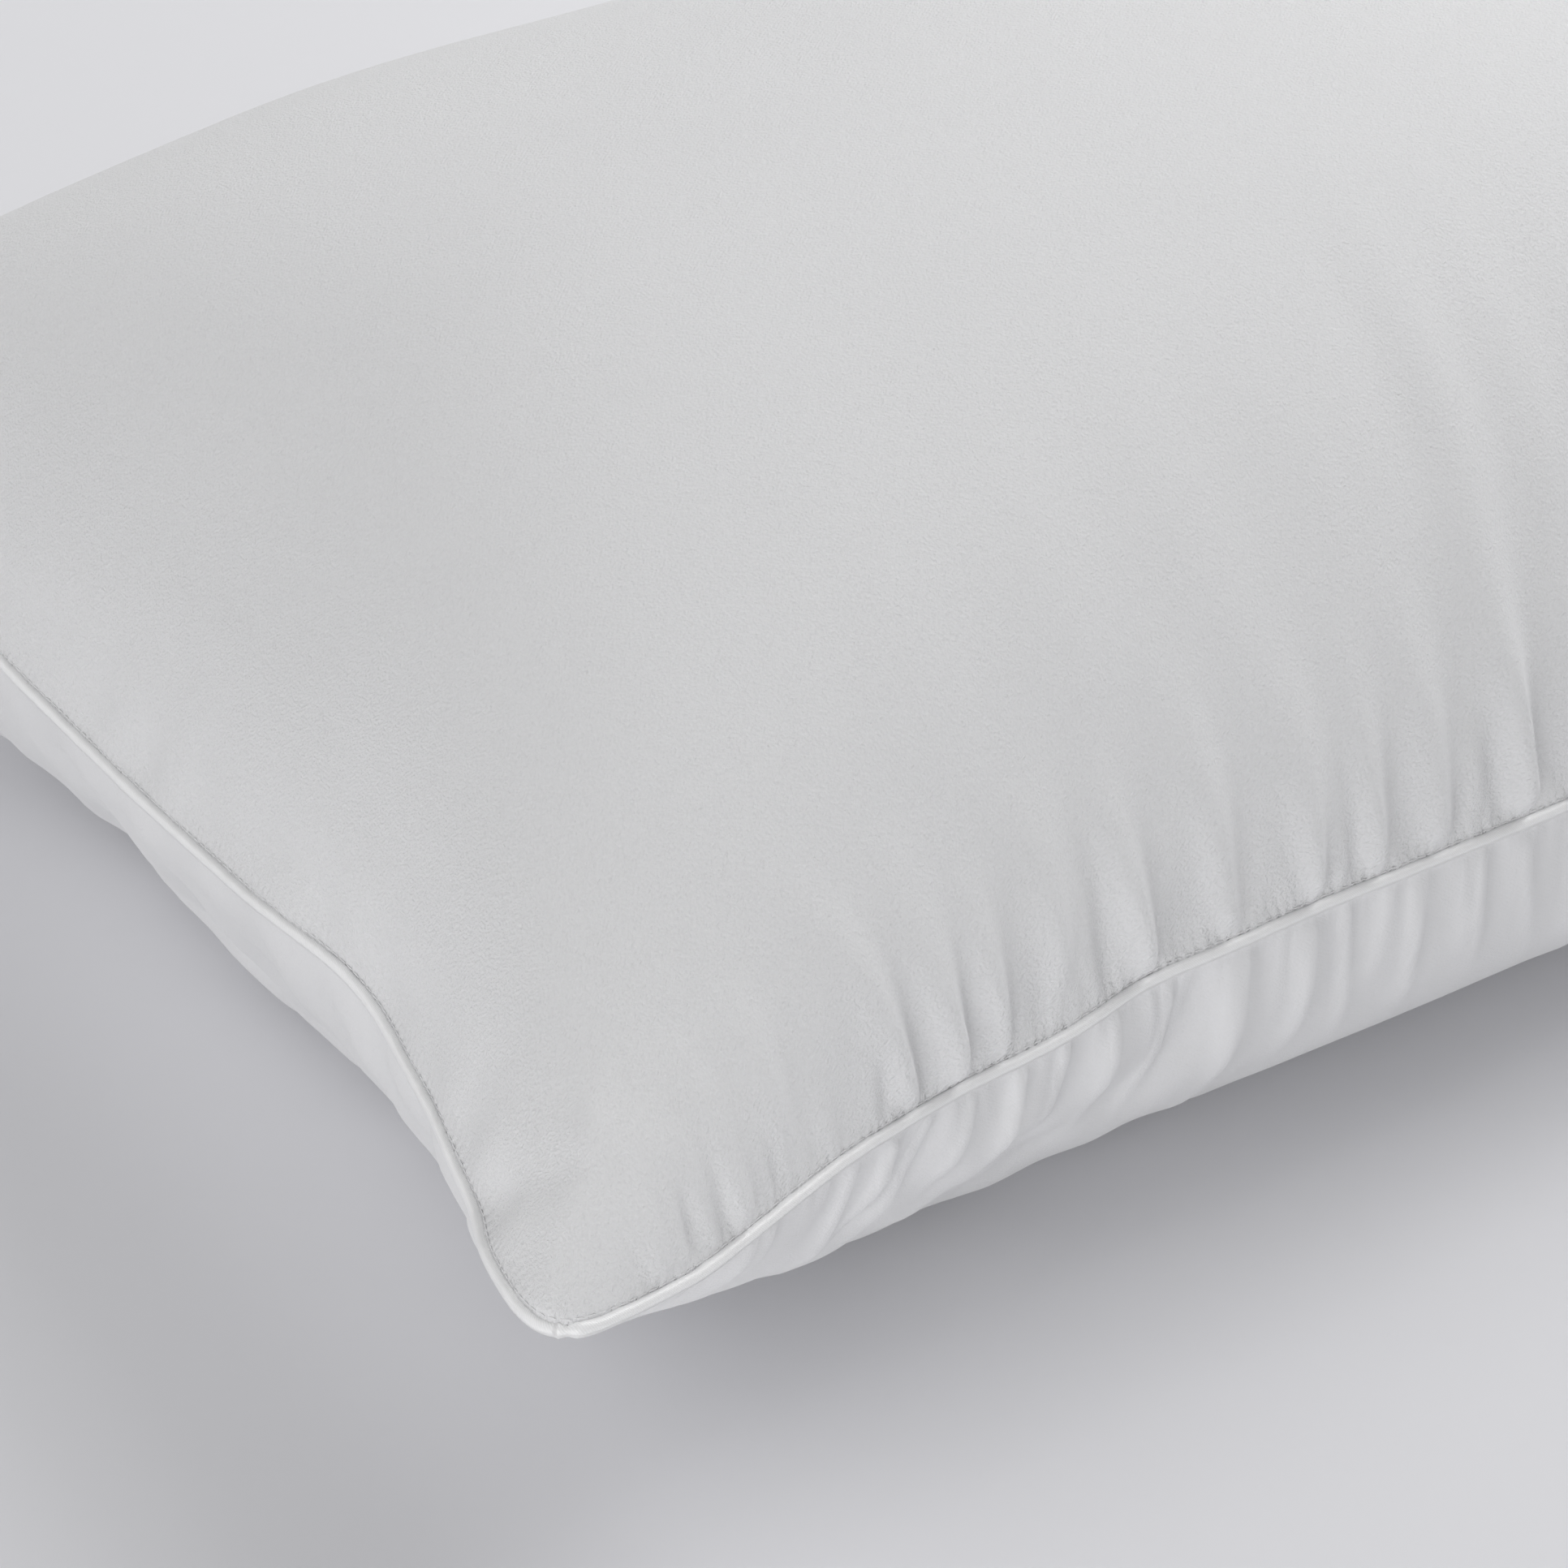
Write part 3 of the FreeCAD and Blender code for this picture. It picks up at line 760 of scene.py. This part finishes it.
# The fold of the strip at a corner: a notch with a slight swelling on both sides of it.
MITRE_WIDTH = 0.9 * MM
MITRE_SPREAD = 6 * MM
MITRE_DEPTH = 0.42
MITRE_BULK = 0.16
CORNER_LEAN = 1.6                       # the fold lies past the turn's middle, on the long side


def corner_marks(seam, where):
    """Distances run to the four corners, where the strip is folded into a mitre."""
    marks = []
    for sign_x in (-1, 1):
        for sign_y in (-1, 1):
            furthest = np.argmax(seam[:, 0] * sign_x + seam[:, 1] * sign_y * CORNER_LEAN)
            marks.append(where[furthest])
    return marks


def make_piping(seam, where, length, materials):
    """The piping: a cord in a folded bias strip, mitred at the corners."""
    rng = np.random.default_rng(PIPE_SEED)
    _, outward, upward = frames_along(seam)
    centre = seam + outward * PIPE_OUT
    wobble = np.zeros(len(seam))
    for wave in PIPE_WAVES:
        share = rng.uniform(0.4, 1)
        phase = rng.uniform(0, 6)
        wobble += share * np.sin(2 * math.pi * where / (wave * MM) + phase)
    centre += upward * (wobble * WAVE_RISE)[:, None]
    radius = PIPE_SEEN * (1 + WAVE_SWELL * wobble)
    join = (length - JOIN_FROM_END - where) / JOIN_LAP
    lap = smooth(join + 0.5) * smooth((1 - join) * 4)
    radius = radius * (1 + JOIN_SWELL * lap)
    for corner in corner_marks(seam, where):
        off = abs(where - corner)
        notch = np.exp(-((off / MITRE_WIDTH) ** 2))
        bulk = np.exp(-((off / MITRE_SPREAD) ** 2))
        radius = radius * (1 - MITRE_DEPTH * notch + MITRE_BULK * bulk)
    piping = tube("piping", centre, radius, PIPE_SIDES, where)
    finish_piece(piping, materials["piping"], "piping_cloth", "piping_cover")
    core = tube("piping_core", centre, PIPE_RADIUS * CORE_SHARE, THREAD_SIDES, where)
    finish_piece(core, materials["cord"], "cotton_cord", "piping_cord")


# Rings of points along a stitch: (share of its length, share of its radius, lift in radii).
STITCH_RINGS = (
    (0.0, 0.35, 0.0),
    (0.18, 1.0, 0.6),
    (0.5, 1.0, 1.0),
    (0.82, 1.0, 0.6),
    (1.0, 0.35, 0.0),
)

# The lockstitch beside the piping: the thread covers a share of its pitch, and lies part of
# the way from the seam to the next row of points.
STITCH_PITCH = 2.9 * MM
STITCH_SHARE = 0.78
STITCH_INSET = 0.45
STITCH_RADIUS = 0.13 * MM
STITCH_PROUD = 0.05 * MM
STITCH_EASE = 2


def stitch_points(start, end, up, radius):
    """A short stitch: a capsule from start to end, arched slightly up."""
    along = end - start
    length = np.linalg.norm(along)
    along = along / length
    side = np.cross(along, up)
    side /= np.linalg.norm(side)
    points = []
    for share, size, lift in STITCH_RINGS:
        middle = start + along * length * share + up * lift * radius
        for k in range(THREAD_SIDES):
            angle = 2 * math.pi * k / THREAD_SIDES
            offset = side * math.cos(angle) + up * math.sin(angle)
            points.append(middle + offset * radius * size)
    return points


def stitch_faces(first):
    """Faces of one stitch whose points start at first."""
    sides = THREAD_SIDES
    last = first + (len(STITCH_RINGS) - 1) * sides
    faces = [[first + k for k in reversed(range(sides))], [last + k for k in range(sides)]]
    for ring in range(first, last, sides):
        for k in range(sides):
            a = ring + k
            b = ring + (k + 1) % sides
            faces.append([a, b, b + sides, a + sides])
    return faces


def make_stitches(name, spots, radius, material, node):
    """A row of stitches from (start, end, up) spots, as one piece."""
    points = []
    faces = []
    for start, end, up in spots:
        faces += stitch_faces(len(points))
        points += stitch_points(start, end, up, radius)
    piece = new_piece(name, points, faces)
    finish_piece(piece, material, "sewing_thread", node)


def beside_seam(layer, share):
    """The closed run between the seam and the first row of points inside it."""
    sides = (
        (layer[1:-1, 0], layer[1:-1, 1]),
        (layer[-1, 1:-1], layer[-2, 1:-1]),
        (layer[-2:0:-1, -1], layer[-2:0:-1, -2]),
        (layer[0, -2:0:-1], layer[1, -2:0:-1]),
    )
    return np.concatenate([(1 - share) * edge + share * inside for edge, inside in sides])


def seam_stitches(layer, side):
    """Spots of the lockstitch that lies on the cloth beside the piping."""
    loop = soften(beside_seam(layer, STITCH_INSET), STITCH_EASE)
    run, _, _ = resample(loop, STITCH_PITCH)
    tangent, outward, upward = frames_along(run)
    spots = []
    for k in range(len(run)):
        up = outward[k] * 0.45 + upward[k] * side * 0.9
        start = run[k] + up * STITCH_PROUD
        spots.append((start, start + tangent[k] * STITCH_PITCH * STITCH_SHARE, up))
    return spots


# ---------------- materials


def new_material(name):
    """A node material, its shader, and helpers that add and link nodes.

    The helper that adds a node takes its settings and its sockets' values by name.
    """
    material = bpy.data.materials.new(name)
    material.use_nodes = True
    tree = material.node_tree
    shader = tree.nodes["Principled BSDF"]

    def add(kind, **values):
        node = tree.nodes.new(kind)
        for key, value in values.items():
            if hasattr(node, key):
                setattr(node, key, value)
            else:
                node.inputs[key.replace("_", " ").title()].default_value = value
        return node

    return material, shader, add, tree.links.new


def cloth_position(add, link, along, across, turn=0.0):
    """The stored cloth position, turned and scaled."""
    stored = add("ShaderNodeAttribute", attribute_name="cloth")
    turned = add("ShaderNodeMapping", rotation=(0, 0, turn))
    link(stored.outputs["Vector"], turned.inputs["Vector"])
    sized = add("ShaderNodeMapping", scale=(along, across, 1.0))
    link(turned.outputs["Vector"], sized.inputs["Vector"])
    return sized.outputs["Vector"]


def tinted(add, link, shader, factor, dark, light):
    """Colour that runs between two tones with a factor."""
    ramp = add("ShaderNodeMix", data_type="RGBA")
    ramp.inputs["A"].default_value = (*dark, 1)
    ramp.inputs["B"].default_value = (*light, 1)
    link(factor, ramp.inputs["Factor"])
    link(ramp.outputs["Result"], shader.inputs["Base Color"])


def stacked_bumps(add, link, shader, layers):
    """Bump layers of (height, distance in metres, strength), one on another."""
    normal = None
    for height, distance, strength in layers:
        bump = add("ShaderNodeBump", strength=strength, distance=distance)
        link(height, bump.inputs["Height"])
        if normal:
            link(normal, bump.inputs["Normal"])
        normal = bump.outputs["Normal"]
    link(normal, shader.inputs["Normal"])


def wave_lines(add, link, place, distortion):
    """Even ridges across the first axis of a place."""
    lines = add("ShaderNodeTexWave", scale=1.0, distortion=distortion, detail=1.0)
    link(place, lines.inputs["Vector"])
    return lines.outputs["Fac"]


def cloudy(add, link, place, detail):
    """Noise at a place that is already scaled."""
    cloud = add("ShaderNodeTexNoise", scale=1.0, detail=detail, roughness=0.55)
    link(place, cloud.inputs["Vector"])
    return cloud.outputs["Fac"]


def own_cloud(add, link, scale, detail):
    """Noise in a piece's own space."""
    place = add("ShaderNodeTexCoord")
    cloud = add("ShaderNodeTexNoise", scale=scale, detail=detail)
    link(place.outputs["Object"], cloud.inputs["Vector"])
    return cloud.outputs["Fac"]


def waves_per_metre(length):
    """Scale of a Wave texture whose lines are this far apart."""
    return math.pi / 10 / length


PUCKER_REACH = 3.6 * MM
PUCKER_SWAY = 9.0                       # how unevenly the puckers are spaced, in radians


def stitch_puckers(add, link):
    """Height of the small puckers beside the stitching, fading from the seam."""
    seam = add("ShaderNodeAttribute", attribute_name="seam")
    parts = add("ShaderNodeSeparateXYZ")
    link(seam.outputs["Vector"], parts.inputs["Vector"])

    def sum_up(operation, first, second):
        node = add("ShaderNodeMath", operation=operation)
        for socket, value in zip(node.inputs, (first, second)):
            if isinstance(value, float):
                socket.default_value = value
            elif value is not None:
                link(value, socket)
        return node.outputs["Value"]

    sway = cloudy(add, link, cloth_position(add, link, 120.0, 120.0), 1.0)
    turns = sum_up("MULTIPLY", parts.outputs["X"], 2 * math.pi / STITCH_PITCH)
    phase = sum_up("ADD", turns, sum_up("MULTIPLY", sway, PUCKER_SWAY))
    wave = sum_up("SINE", phase, None)
    fade = sum_up("EXPONENT", sum_up("MULTIPLY", parts.outputs["Y"], -1 / PUCKER_REACH), None)
    beside = sum_up("MULTIPLY", fade, parts.outputs["Z"])
    return sum_up("MULTIPLY", wave, beside)


# The cover's cloth: its tones, and its grains per metre along and across their slant.
COVER_DARK = (0.745, 0.745, 0.755)
COVER_LIGHT = (0.885, 0.885, 0.895)
GRAIN_SLANT = math.radians(38)
GRAIN = (1500.0, 1250.0)
CREPE = (640.0, 520.0)
NAP = (3600.0, 3600.0)
PATCHES = (9.0, 9.0)
TWILL_SPACING = 0.95 * MM
TWILL_SLANT = math.radians(52)


def brushed_cover(name, grain_share):
    """Brushed microfibre: crepe grain, a fine twill and a soft nap."""
    material, shader, add, link = new_material(name)
    grain = cloudy(add, link, cloth_position(add, link, *GRAIN, GRAIN_SLANT), 2.0)
    crepe = cloudy(add, link, cloth_position(add, link, *CREPE, GRAIN_SLANT), 1.0)
    nap = cloudy(add, link, cloth_position(add, link, *NAP), 2.0)
    lines = waves_per_metre(TWILL_SPACING)
    twill_place = cloth_position(add, link, lines, lines, TWILL_SLANT)
    twill = wave_lines(add, link, twill_place, 1.2)
    patches = cloudy(add, link, cloth_position(add, link, *PATCHES), 3.0)
    mixed = add("ShaderNodeMix", data_type="FLOAT")
    mixed.inputs["Factor"].default_value = 0.7 * grain_share
    link(patches, mixed.inputs["A"])
    link(grain, mixed.inputs["B"])
    tinted(add, link, shader, mixed.outputs["Result"], COVER_DARK, COVER_LIGHT)
    layers = (
        (stitch_puckers(add, link), 0.17 * MM, grain_share),
        (crepe, 0.32 * MM, 0.6 * grain_share),
        (grain, 0.42 * MM, 1.0 * grain_share),
        (twill, 0.12 * MM, 0.3 * grain_share),
        (nap, 0.10 * MM, 0.5 * grain_share),
    )
    stacked_bumps(add, link, shader, layers)
    shader.inputs["Roughness"].default_value = 0.82
    shader.inputs["Specular IOR Level"].default_value = 0.25
    shader.inputs["Sheen Weight"].default_value = 0.2
    shader.inputs["Sheen Roughness"].default_value = 0.45
    return material


SATIN_DARK = (0.90, 0.90, 0.905)
SATIN_LIGHT = (0.96, 0.96, 0.965)
RIB_SPACING = 0.5 * MM
BIAS_SLANT = math.radians(-24)
YARN = (700.0, 2600.0)


def satin_piping():
    """Bias-cut satin: fine ribs that cross the piping at a slant."""
    material, shader, add, link = new_material("satin_piping")
    lines = waves_per_metre(RIB_SPACING)
    rib_place = cloth_position(add, link, lines, lines, BIAS_SLANT)
    ribs = wave_lines(add, link, rib_place, 0.5)
    yarn = cloudy(add, link, cloth_position(add, link, *YARN, BIAS_SLANT), 2.0)
    tinted(add, link, shader, ribs, SATIN_DARK, SATIN_LIGHT)
    layers = ((ribs, 0.08 * MM, 0.5), (yarn, 0.06 * MM, 0.4))
    stacked_bumps(add, link, shader, layers)
    shader.inputs["Roughness"].default_value = 0.32
    shader.inputs["Specular IOR Level"].default_value = 0.9
    return material


def plain_yarn(name, tone, scale, roughness=0.7):
    """Spun yarn with soft fibres, for threads, cords and fibre."""
    material, shader, add, link = new_material(name)
    fibres = own_cloud(add, link, scale, 4.0)
    tinted(add, link, shader, fibres, [c * 0.9 for c in tone], tone)
    stacked_bumps(add, link, shader, ((fibres, 0.2 * MM, 0.5),))
    shader.inputs["Roughness"].default_value = roughness
    return material


LABEL_DARK = (0.80, 0.80, 0.80)
LABEL_LIGHT = (0.87, 0.87, 0.87)
LABEL_RIBS = 520.0


def ribbon_label():
    """Woven satin ribbon with fine cross ribs."""
    material, shader, add, link = new_material("ribbon_label")
    ribs = add("ShaderNodeTexWave", bands_direction="Y", scale=1.0, distortion=0.3)
    link(cloth_position(add, link, LABEL_RIBS, LABEL_RIBS), ribs.inputs["Vector"])
    tinted(add, link, shader, ribs.outputs["Fac"], LABEL_DARK, LABEL_LIGHT)
    stacked_bumps(add, link, shader, ((ribs.outputs["Fac"], 0.06 * MM, 0.4),))
    shader.inputs["Roughness"].default_value = 0.45
    return material


FLOOR_DARK = (0.80, 0.80, 0.825)
FLOOR_LIGHT = (0.82, 0.82, 0.845)


def pale_floor():
    """Smooth matt floor with faint mottling."""
    material, shader, add, link = new_material("pale_floor")
    tinted(add, link, shader, own_cloud(add, link, 3.0, 2.0), FLOOR_DARK, FLOOR_LIGHT)
    shader.inputs["Roughness"].default_value = 0.75
    shader.inputs["Specular IOR Level"].default_value = 0.2
    return material


def make_materials():
    """Every material of the pillow by its use."""
    return {
        "upper": brushed_cover("brushed_upper", 1.0),
        "lower": brushed_cover("brushed_lower", 0.3),
        "piping": satin_piping(),
        "cord": plain_yarn("cotton_cord", (0.80, 0.78, 0.74), 900.0),
        "thread": plain_yarn("sewing_thread", (0.88, 0.88, 0.89), 2500.0, 0.55),
        "fibre": plain_yarn("loose_fibre", (0.86, 0.86, 0.86), 160.0, 0.9),
        "label": ribbon_label(),
    }


# ---------------- hidden and small pieces


# The filling lies this far inside every sixth point of the cover.
FILLING_STEP = 6
FILLING_INSIDE = 3.5 * MM
FILLING_FROM_SEAM = 12 * MM


def make_filling(upper, lower, cut, material):
    """The fibre filling: a lumpy closed core a little inside the cover."""
    every = slice(None, None, FILLING_STEP)
    high = (upper - outward_normals(upper, 1) * FILLING_INSIDE)[every, every]
    low = (lower - outward_normals(lower, -1) * FILLING_INSIDE)[every, every]
    keep = cut.to_seam[every, every] > FILLING_FROM_SEAM
    columns, depth = keep.shape
    numbers = {}
    points = []
    faces = []
    cells = {
        (i, j)
        for i in range(columns - 1)
        for j in range(depth - 1)
        if keep[i:i + 2, j:j + 2].all()
    }

    def point(layer, i, j):
        key = (layer, i, j)
        if key not in numbers:
            numbers[key] = len(points)
            points.append((high if layer else low)[i, j])
        return numbers[key]

    for i, j in sorted(cells):
        ring = [(i, j), (i + 1, j), (i + 1, j + 1), (i, j + 1)]
        faces.append([point(1, *spot) for spot in ring])
        faces.append([point(0, *spot) for spot in reversed(ring)])
        edges = (((i, j - 1), 0, 1), ((i + 1, j), 1, 2), ((i, j + 1), 2, 3), ((i - 1, j), 3, 0))
        for neighbour, a, b in edges:
            if neighbour not in cells:
                faces.append(
                    [point(0, *ring[a]), point(0, *ring[b]), point(1, *ring[b]), point(1, *ring[a])]
                )
    filling = new_piece("filling", points, faces)
    finish_piece(filling, material, "fibre_filling", "fibre_fill")


# The overlock thread: how far inside the seam it runs, its pitch, swing and radius.
EDGING_INSIDE = 9 * MM
EDGING_PITCH = 3 * MM
EDGING_SWING = 0.8 * MM
EDGING_RADIUS = 0.5 * MM
EDGING_EASE = 40


def make_edging(seam, where, material):
    """Overlock thread along the raw edges, inside the seam."""
    _, outward, upward = frames_along(seam)
    inside = soften(seam - outward * EDGING_INSIDE, EDGING_EASE)
    wave = np.sin(2 * math.pi * where / EDGING_PITCH)
    centre = inside + upward * (wave * EDGING_SWING)[:, None]
    edging = tube("edging", centre, EDGING_RADIUS, THREAD_SIDES, where)
    finish_piece(edging, material, "sewing_thread", "overlock_edging")


# The closing row, and where a stitch starts and how far it runs from there.
CLOSING_PITCH = 5 * MM
CLOSING_RADIUS = 0.32 * MM
CLOSING_UP = 0.9 * MM
CLOSING_IN = 0.4 * MM
CLOSING_RUN = 2.6 * MM
CLOSING_RISE = 1.3 * MM


def make_closing(seam, material):
    """Slanted hand stitches where the cover was closed, in the far short side."""
    low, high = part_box("closing_stitches")
    run, _, _ = resample(seam, CLOSING_PITCH)
    tangent, outward, upward = frames_along(run)
    spots = []
    for k in range(len(run)):
        if run[k][0] > 0 and low[1] < run[k][1] < high[1]:
            start = run[k] + upward[k] * CLOSING_UP - outward[k] * CLOSING_IN
            end = start + tangent[k] * CLOSING_RUN + upward[k] * CLOSING_RISE
            spots.append((start, end, outward[k]))
    make_stitches("closing_row", spots, CLOSING_RADIUS, material, "closing_stitches")


# The label; its free end leans out and curls.
LABEL_WIDTH = 32 * MM
LABEL_DROP = 40 * MM
LABEL_THICKNESS = 0.3 * MM
LABEL_LEAN = 5 * MM
LABEL_CURL = 1.8 * MM
LABEL_POINTS = (17, 23)


def make_label(seam, material):
    """The blank care label: a limp ribbon that hangs from the crease under the piping."""
    low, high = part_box("care_label")
    middle = (low[1] + high[1]) / 2
    nearest = min(
        (k for k in range(len(seam)) if seam[k][0] > 0), key=lambda k: abs(seam[k][1] - middle)
    )
    tangent, outward, _ = frames_along(seam)
    root = Vector(seam[nearest]) + Vector(outward[nearest]) * 0.5 * MM
    across, away = (Vector((*way[nearest][:2], 0)).normalized() for way in (tangent, outward))
    columns, rows = LABEL_POINTS
    points = []
    marks = []
    for i in range(columns):
        u = i / (columns - 1) - 0.5
        for j in range(rows):
            v = j / (rows - 1)
            out = PIPE_RADIUS * 2.3 * (1 - math.exp(-v * 7)) + LABEL_LEAN * v * v
            curl = LABEL_CURL * v * math.sin(u * 5 + 0.6)
            fall = -PIPE_RADIUS * 0.6 - v * LABEL_DROP
            beside = across * u * LABEL_WIDTH
            points.append(root + beside + away * (out + curl) + Vector((0, 0, fall)))
            marks.append((u * LABEL_WIDTH, v * LABEL_DROP, 0))
    label = new_piece("label", points, grid_faces(columns, rows), marks)
    thick = label.modifiers.new("ribbon", "SOLIDIFY")
    thick.thickness = LABEL_THICKNESS
    finish_piece(label, material, "label_ribbon", "care_label")


# ---------------- stage


def direction(azimuth, elevation):
    """Unit vector towards an azimuth and elevation in degrees; azimuth 0 is at -Y."""
    a, e = math.radians(azimuth), math.radians(elevation)
    return Vector((math.sin(a) * math.cos(e), -math.cos(a) * math.cos(e), math.sin(e)))


def add_light(name, place, away, size, power):
    """A soft square light that shines against the direction away."""
    data = bpy.data.lights.new(name, "AREA")
    data.shape = "SQUARE"
    data.size = size
    data.energy = power
    light = bpy.data.objects.new(name, data)
    light.location = place
    light.rotation_euler = (-away).to_track_quat("-Z", "Y").to_euler()
    bpy.context.collection.objects.link(light)


CAMERA_AZIMUTH = -34.8
CAMERA_ELEVATION = 34.25
CAMERA_DISTANCE = 1365 * MM
CAMERA_ROLL = -0.03
CAMERA_TARGET = (-179 * MM, -61.5 * MM, 60 * MM)
CAMERA_LENS = 125.4


def add_camera():
    """A long lens, looking down at the near corner."""
    away = direction(CAMERA_AZIMUTH, CAMERA_ELEVATION)
    data = bpy.data.cameras.new("camera")
    data.lens = CAMERA_LENS
    camera = bpy.data.objects.new("camera", data)
    place = Vector(CAMERA_TARGET) + away * CAMERA_DISTANCE
    aim = (-away).to_track_quat("-Z", "Y").to_matrix().to_4x4()
    roll = Matrix.Rotation(math.radians(CAMERA_ROLL), 4, "Z")
    camera.matrix_world = Matrix.Translation(place) @ aim @ roll
    bpy.context.collection.objects.link(camera)
    bpy.context.scene.camera = camera


LIGHT_TARGET = Vector((-0.18, -0.06, 0.06))

# Soft square lights that face the pillow: (name, azimuth, elevation, distance, size, power).
# Azimuths are counted from the near long side towards +X.
FACING_LIGHTS = (
    ("front_panel", -30, 18, 2.2, 1.5, 11),
    ("left_panel", -60, 18, 2.2, 1.5, 5),
    ("back_left_panel", -120, 18, 2.2, 1.5, 3),
    ("back_left_panel_high", -120, 42, 2.2, 1.5, 6),
    ("back_panel", -150, 18, 2.2, 1.5, 6),
    ("right_panel", 90, 42, 2.2, 1.5, 13),
    ("back_right_panel", 120, 42, 2.2, 1.5, 13),
    ("low_reflector", -50, 5, 1.0, 0.5, 1),
)

# A square light that hangs over the far end and faces down: (name, place, size, power).
HANGING_LIGHTS = (("hanging_panel", (1.1, 0.0, 1.3), 0.8, 7),)

FLOOR_SIZE = 12

# The even surround: how much light it gives, and how bright it looks.
SURROUND_LIGHT = 0.2
SURROUND_TONE = 0.62


def add_surround():
    """A dim even light from all round that looks like a pale backdrop."""
    world = bpy.data.worlds.new("surround")
    world.use_nodes = True
    tree = world.node_tree
    ray = tree.nodes.new("ShaderNodeLightPath")
    chosen = tree.nodes.new("ShaderNodeMixShader")
    tree.links.new(ray.outputs["Is Camera Ray"], chosen.inputs[0])
    backdrop = tree.nodes.new("ShaderNodeBackground")
    glows = ((tree.nodes["Background"], SURROUND_LIGHT), (backdrop, SURROUND_TONE))
    for socket, (glow, strength) in zip(chosen.inputs[1:], glows):
        glow.inputs["Color"].default_value = (1.0, 1.0, 1.0, 1.0)
        glow.inputs["Strength"].default_value = strength
        tree.links.new(glow.outputs[0], socket)
    tree.links.new(chosen.outputs[0], tree.nodes["World Output"].inputs["Surface"])
    bpy.context.scene.world = world


def add_stage():
    """Floor, soft lights and an even pale surround."""
    bpy.ops.mesh.primitive_plane_add(size=FLOOR_SIZE)
    floor = bpy.context.object
    floor.name = "floor"
    floor.data.materials.append(pale_floor())
    for name, azimuth, elevation, distance, size, power in FACING_LIGHTS:
        away = direction(azimuth, elevation)
        add_light(name, LIGHT_TARGET + away * distance, away, size, power)
    for name, place, size, power in HANGING_LIGHTS:
        add_light(name, place, Vector((0, 0, 1)), size, power)
    add_surround()
    bpy.context.scene.view_settings.view_transform = "Standard"


# Steps between the places of the finished seam, and how often it is eased before and after.
SEAM_STEP = 0.8 * MM
SEAM_EASE_FIRST = 3
SEAM_EASE_LAST = 12


def main():
    """The pillow with all its pieces, on its stage."""
    materials = make_materials()
    cut, upper, lower, edge = shape_cover()
    make_panel("upper_cover", upper, cut, 1, materials["upper"], "top_panel")
    make_panel("lower_cover", lower, cut, -1, materials["lower"], "bottom_panel")
    seam, where, length = resample(soften(edge, SEAM_EASE_FIRST), SEAM_STEP)
    seam = soften(seam, SEAM_EASE_LAST)
    make_piping(seam, where, length, materials)
    thread = materials["thread"]
    above = seam_stitches(upper, 1)
    make_stitches("upper_stitches", above, STITCH_RADIUS, thread, "needle_thread")
    below = seam_stitches(lower, -1)
    make_stitches("lower_stitches", below, STITCH_RADIUS, thread, "bobbin_thread")
    make_edging(seam, where, thread)
    make_closing(seam, thread)
    make_filling(upper, lower, cut, materials["fibre"])
    make_label(seam, materials["label"])
    add_camera()
    add_stage()


main()
